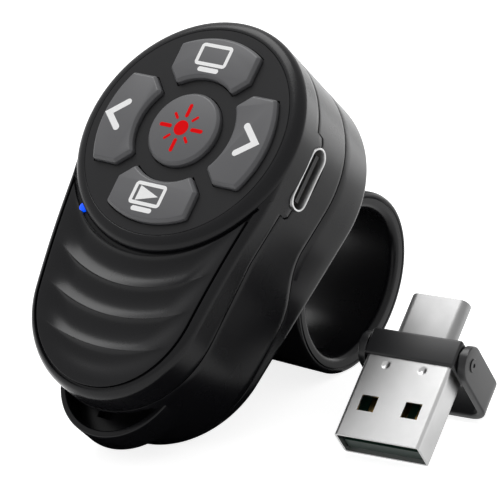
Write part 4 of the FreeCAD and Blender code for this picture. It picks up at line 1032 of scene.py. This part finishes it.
FINISHES = {
    "satin_black": plastic("satin_black_plastic", (0.005, 0.005, 0.006), 0.27, 0.18),
    "plate_black": plastic("plate_black_plastic", (0.008, 0.008, 0.009), 0.36, 0.2),
    "button_grey": plastic("button_grey_plastic", (0.085, 0.085, 0.09), 0.45),
    "mark_white": plastic("white_print", (0.92, 0.92, 0.92), 0.5),
    "mark_red": plastic("red_print", (0.8, 0.0, 0.002), 0.5, 0.05),
    "plunger_black": plastic("plunger_black_plastic", (0.02, 0.02, 0.02), 0.4),
    "lamp_blue": lamp_glow(),
    "board_green": plastic("board_green_lacquer", (0.01, 0.09, 0.03), 0.3),
    "chip_black": plastic("chip_black_resin", (0.015, 0.015, 0.016), 0.55),
    "switch_steel": metal("switch_steel_sheet", (0.7, 0.7, 0.7), (0.5, 0.5, 0.5), 0.25),
    "plug_steel": metal("plug_steel_sheet", (0.5, 0.5, 0.5), (0.42, 0.42, 0.42), 0.28, 0.03, 0.06),
    # the small plug's steel is the plug steel darkened: painted shade that dims the lamp's reflection on it
    "shaded_plug_steel": metal("shaded_plug_steel", (0.26, 0.26, 0.26), (0.22, 0.22, 0.22), 0.42, 0.03, 0.06),
    "screw_steel": metal("screw_steel", (0.4, 0.4, 0.42), (0.25, 0.25, 0.27), 0.3),
    "tongue_grey": plastic("tongue_grey_plastic", (0.02, 0.02, 0.02), 0.5, 0.3),
    # the tongue's green is darkened: painted shade for the shadow inside the large plug's mouth
    "tongue_green": plastic("tongue_green_plastic", (0.004, 0.022, 0.014), 0.4, 0.3),
    "contact_gold": metal("contact_gold_plate", (0.9, 0.62, 0.25), (0.7, 0.45, 0.15), 0.2),
    "battery_foil": metal("battery_foil", (0.65, 0.65, 0.66), (0.5, 0.5, 0.52), 0.35),
    "lead_red": plastic("lead_red_sleeve", (0.5, 0.02, 0.02), 0.45),
    "laser_brass": metal("laser_brass", (0.75, 0.55, 0.2), (0.55, 0.4, 0.15), 0.25),
    "clear_lens": plastic("clear_lens", (0.1, 0.02, 0.02), 0.1),
    "receiver_black": plastic("receiver_black_plastic", (0.01, 0.01, 0.011), 0.35, 0.35),
}

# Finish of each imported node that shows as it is
NODE_FINISHES = {
    "key_plate": "plate_black", "status_led": "clear_lens", "main_pcb": "board_green",
    "switch_bodies": "switch_steel", "radio_chip": "chip_black", "charge_chip": "chip_black",
    "crystal_can": "switch_steel", "port_tongue": "tongue_grey", "port_contacts": "contact_gold",
    "battery_cell": "battery_foil", "battery_leads": "lead_red", "laser_barrel": "laser_brass",
    "laser_lens": "clear_lens", "laser_board": "board_green", "laser_window": "clear_lens",
    "ring_screws": "screw_steel", "plug_a_tongue": "tongue_green", "plug_a_contacts": "contact_gold",
    "plug_c_liner": "chip_black", "receiver_pcb": "board_green",
}
NODE_FINISHES |= {name + "_plunger": "plunger_black" for name in ("laser", "screen", "previous", "play", "next")}


def dress_nodes():
    for name, finish in NODE_FINISHES.items():
        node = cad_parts[name]
        node.data.materials.clear()
        node.data.materials.append(FINISHES[finish])


# Stage, in metres

def pose_matrix(axes, place):
    """Matrix of an object whose x, y and z point along three axes."""
    matrix = np.eye(4)
    matrix[:3, :3] = np.transpose(axes)
    matrix[:3, 3] = place
    return Matrix(matrix.tolist())


def add_camera():
    """The photograph's viewpoint, found in the clicker's own frame."""
    data = bpy.data.cameras.new("camera")
    data.lens = LENS
    data.shift_x = LENS_SHIFT
    data.sensor_width = 36
    data.clip_end = 10
    camera = bpy.data.objects.new("camera", data)
    bpy.context.scene.collection.objects.link(camera)
    camera.matrix_world = pose_matrix(np.array(CAMERA_AXES) @ CLICKER[0], to_row(CAMERA_PLACE, CLICKER))
    bpy.context.scene.camera = camera


def seen_along(heading, distance):
    """Side, up and outward axes of a sheet that faces the object from a heading, and its middle."""
    outward = np.array(heading) / np.linalg.norm(heading)
    side = np.cross((0, 0, 1), outward)
    side /= np.linalg.norm(side)
    return np.array([side, np.cross(outward, side), outward]), np.array([0, 0, 0.02]) + outward * distance


def add_lamp():
    """Square softbox over the object."""
    data = bpy.data.lights.new("overhead_box", "AREA")
    data.shape = "SQUARE"
    data.size = LAMP_SIZE
    data.energy = LAMP_WATTS
    lamp_object = bpy.data.objects.new("overhead_box", data)
    bpy.context.scene.collection.objects.link(lamp_object)
    lamp_object.matrix_world = pose_matrix(*seen_along(LAMP_HEADING, LAMP_DISTANCE))


def upright(heading, distance, width, height):
    """Corners of an upright sheet that faces the object."""
    (side, up, _), middle = seen_along(heading, distance)
    return [middle + a * side * width / 2 + b * up * height / 2
            for a, b in ((-1, -1), (1, -1), (1, 1), (-1, 1))]


def lying(low, high, z):
    """Corners of a sheet that lies level."""
    return [(low[0], low[1], z), (high[0], low[1], z), (high[0], high[1], z), (low[0], high[1], z)]


def add_sheet(name, corners):
    """Flat piece of the stage, and the tree of its bare material."""
    mesh = bpy.data.meshes.new(name)
    mesh.from_pydata(corners, [], [(0, 1, 2, 3)])
    sheet = bpy.data.objects.new(name, mesh)
    bpy.context.scene.collection.objects.link(sheet)
    material, shader, tree = new_material(name)
    tree.nodes.remove(shader)
    mesh.materials.append(material)
    return sheet, tree


def add_card(name, corners, brightness):
    """Sheet seen only in reflections, that lights or darkens them."""
    card, tree = add_sheet(name, corners)
    card.visible_camera = False
    card.visible_diffuse = False
    card.visible_shadow = False
    glow = add_node(tree, "Emission", {"Strength": brightness})
    tree.links.new(glow.outputs[0], tree.nodes["Material Output"].inputs["Surface"])


def seen_rays(tree):
    """1 for camera, glossy and transmission rays."""
    path = add_node(tree, "LightPath", {}).outputs
    seen = path["Is Camera Ray"]
    for name in ("Is Glossy Ray", "Is Transmission Ray"):
        seen = add_node(tree, "Math", {0: seen, 1: path[name]}, operation="MAXIMUM").outputs[0]
    return seen


def add_world():
    """Even white light, at full strength for the rays that see it."""
    world = bpy.data.worlds.new("studio")
    bpy.context.scene.world = world
    world.use_nodes = True
    tree = world.node_tree
    shader = tree.nodes["Background"]
    shader.inputs["Color"].default_value = (1, 1, 1, 1)
    strength = add_node(tree, "MapRange", {"Value": seen_rays(tree), "To Min": WORLD_LIGHT, "To Max": 1.0})
    tree.links.new(strength.outputs["Result"], shader.inputs["Strength"])


def add_floor():
    """White sweep: lit like paper, with a steady glow for the rays that see it."""
    tree = add_sheet("floor", lying((-FLOOR_HALF, -FLOOR_HALF), (FLOOR_HALF, FLOOR_HALF), 0))[1]
    paper = add_node(tree, "BsdfDiffuse", {"Color": (FLOOR_WHITE, FLOOR_WHITE, FLOOR_WHITE, 1)})
    share = add_node(tree, "Math", {0: seen_rays(tree), 1: FLOOR_GLOW}, operation="MULTIPLY")
    glow = add_node(tree, "Emission", {"Strength": share.outputs[0]})
    both = add_node(tree, "AddShader", {0: paper.outputs[0], 1: glow.outputs[0]})
    tree.links.new(both.outputs[0], tree.nodes["Material Output"].inputs["Surface"])


def main():
    top_cover()
    mid_housing()
    back_cover()
    case_screws()
    finger_ring()
    lanyard_loop()
    for i, name in enumerate(("screen", "previous", "play", "next")):
        button(name, arc_outline(), 90 * i, STEM_OFFSET)
    button("laser", circle_outline(), 0, 0)
    marks()
    lamp()
    charging_port()
    receiver_block()
    large_plug()
    small_plug()
    swing_bail()
    bail_pins()
    dress_nodes()
    bpy.context.scene.view_settings.view_transform = "Standard"
    add_camera()
    add_world()
    add_floor()
    add_lamp()
    add_card("back_card", upright((0.25, 0.97, 0.0), 0.16, 0.09, 0.05), 3.3)
    # dark sheet under the body, seen only in reflections: painted shadow standing in for the floor's shade there
    add_card("under_shadow_card", lying((-0.022, -0.028), (0.012, 0.012), 0.0003), 0.0)
    add_card("left_card", lying((-0.06, -0.04), (-0.026, 0.02), 0.0003), 3.0)


main()
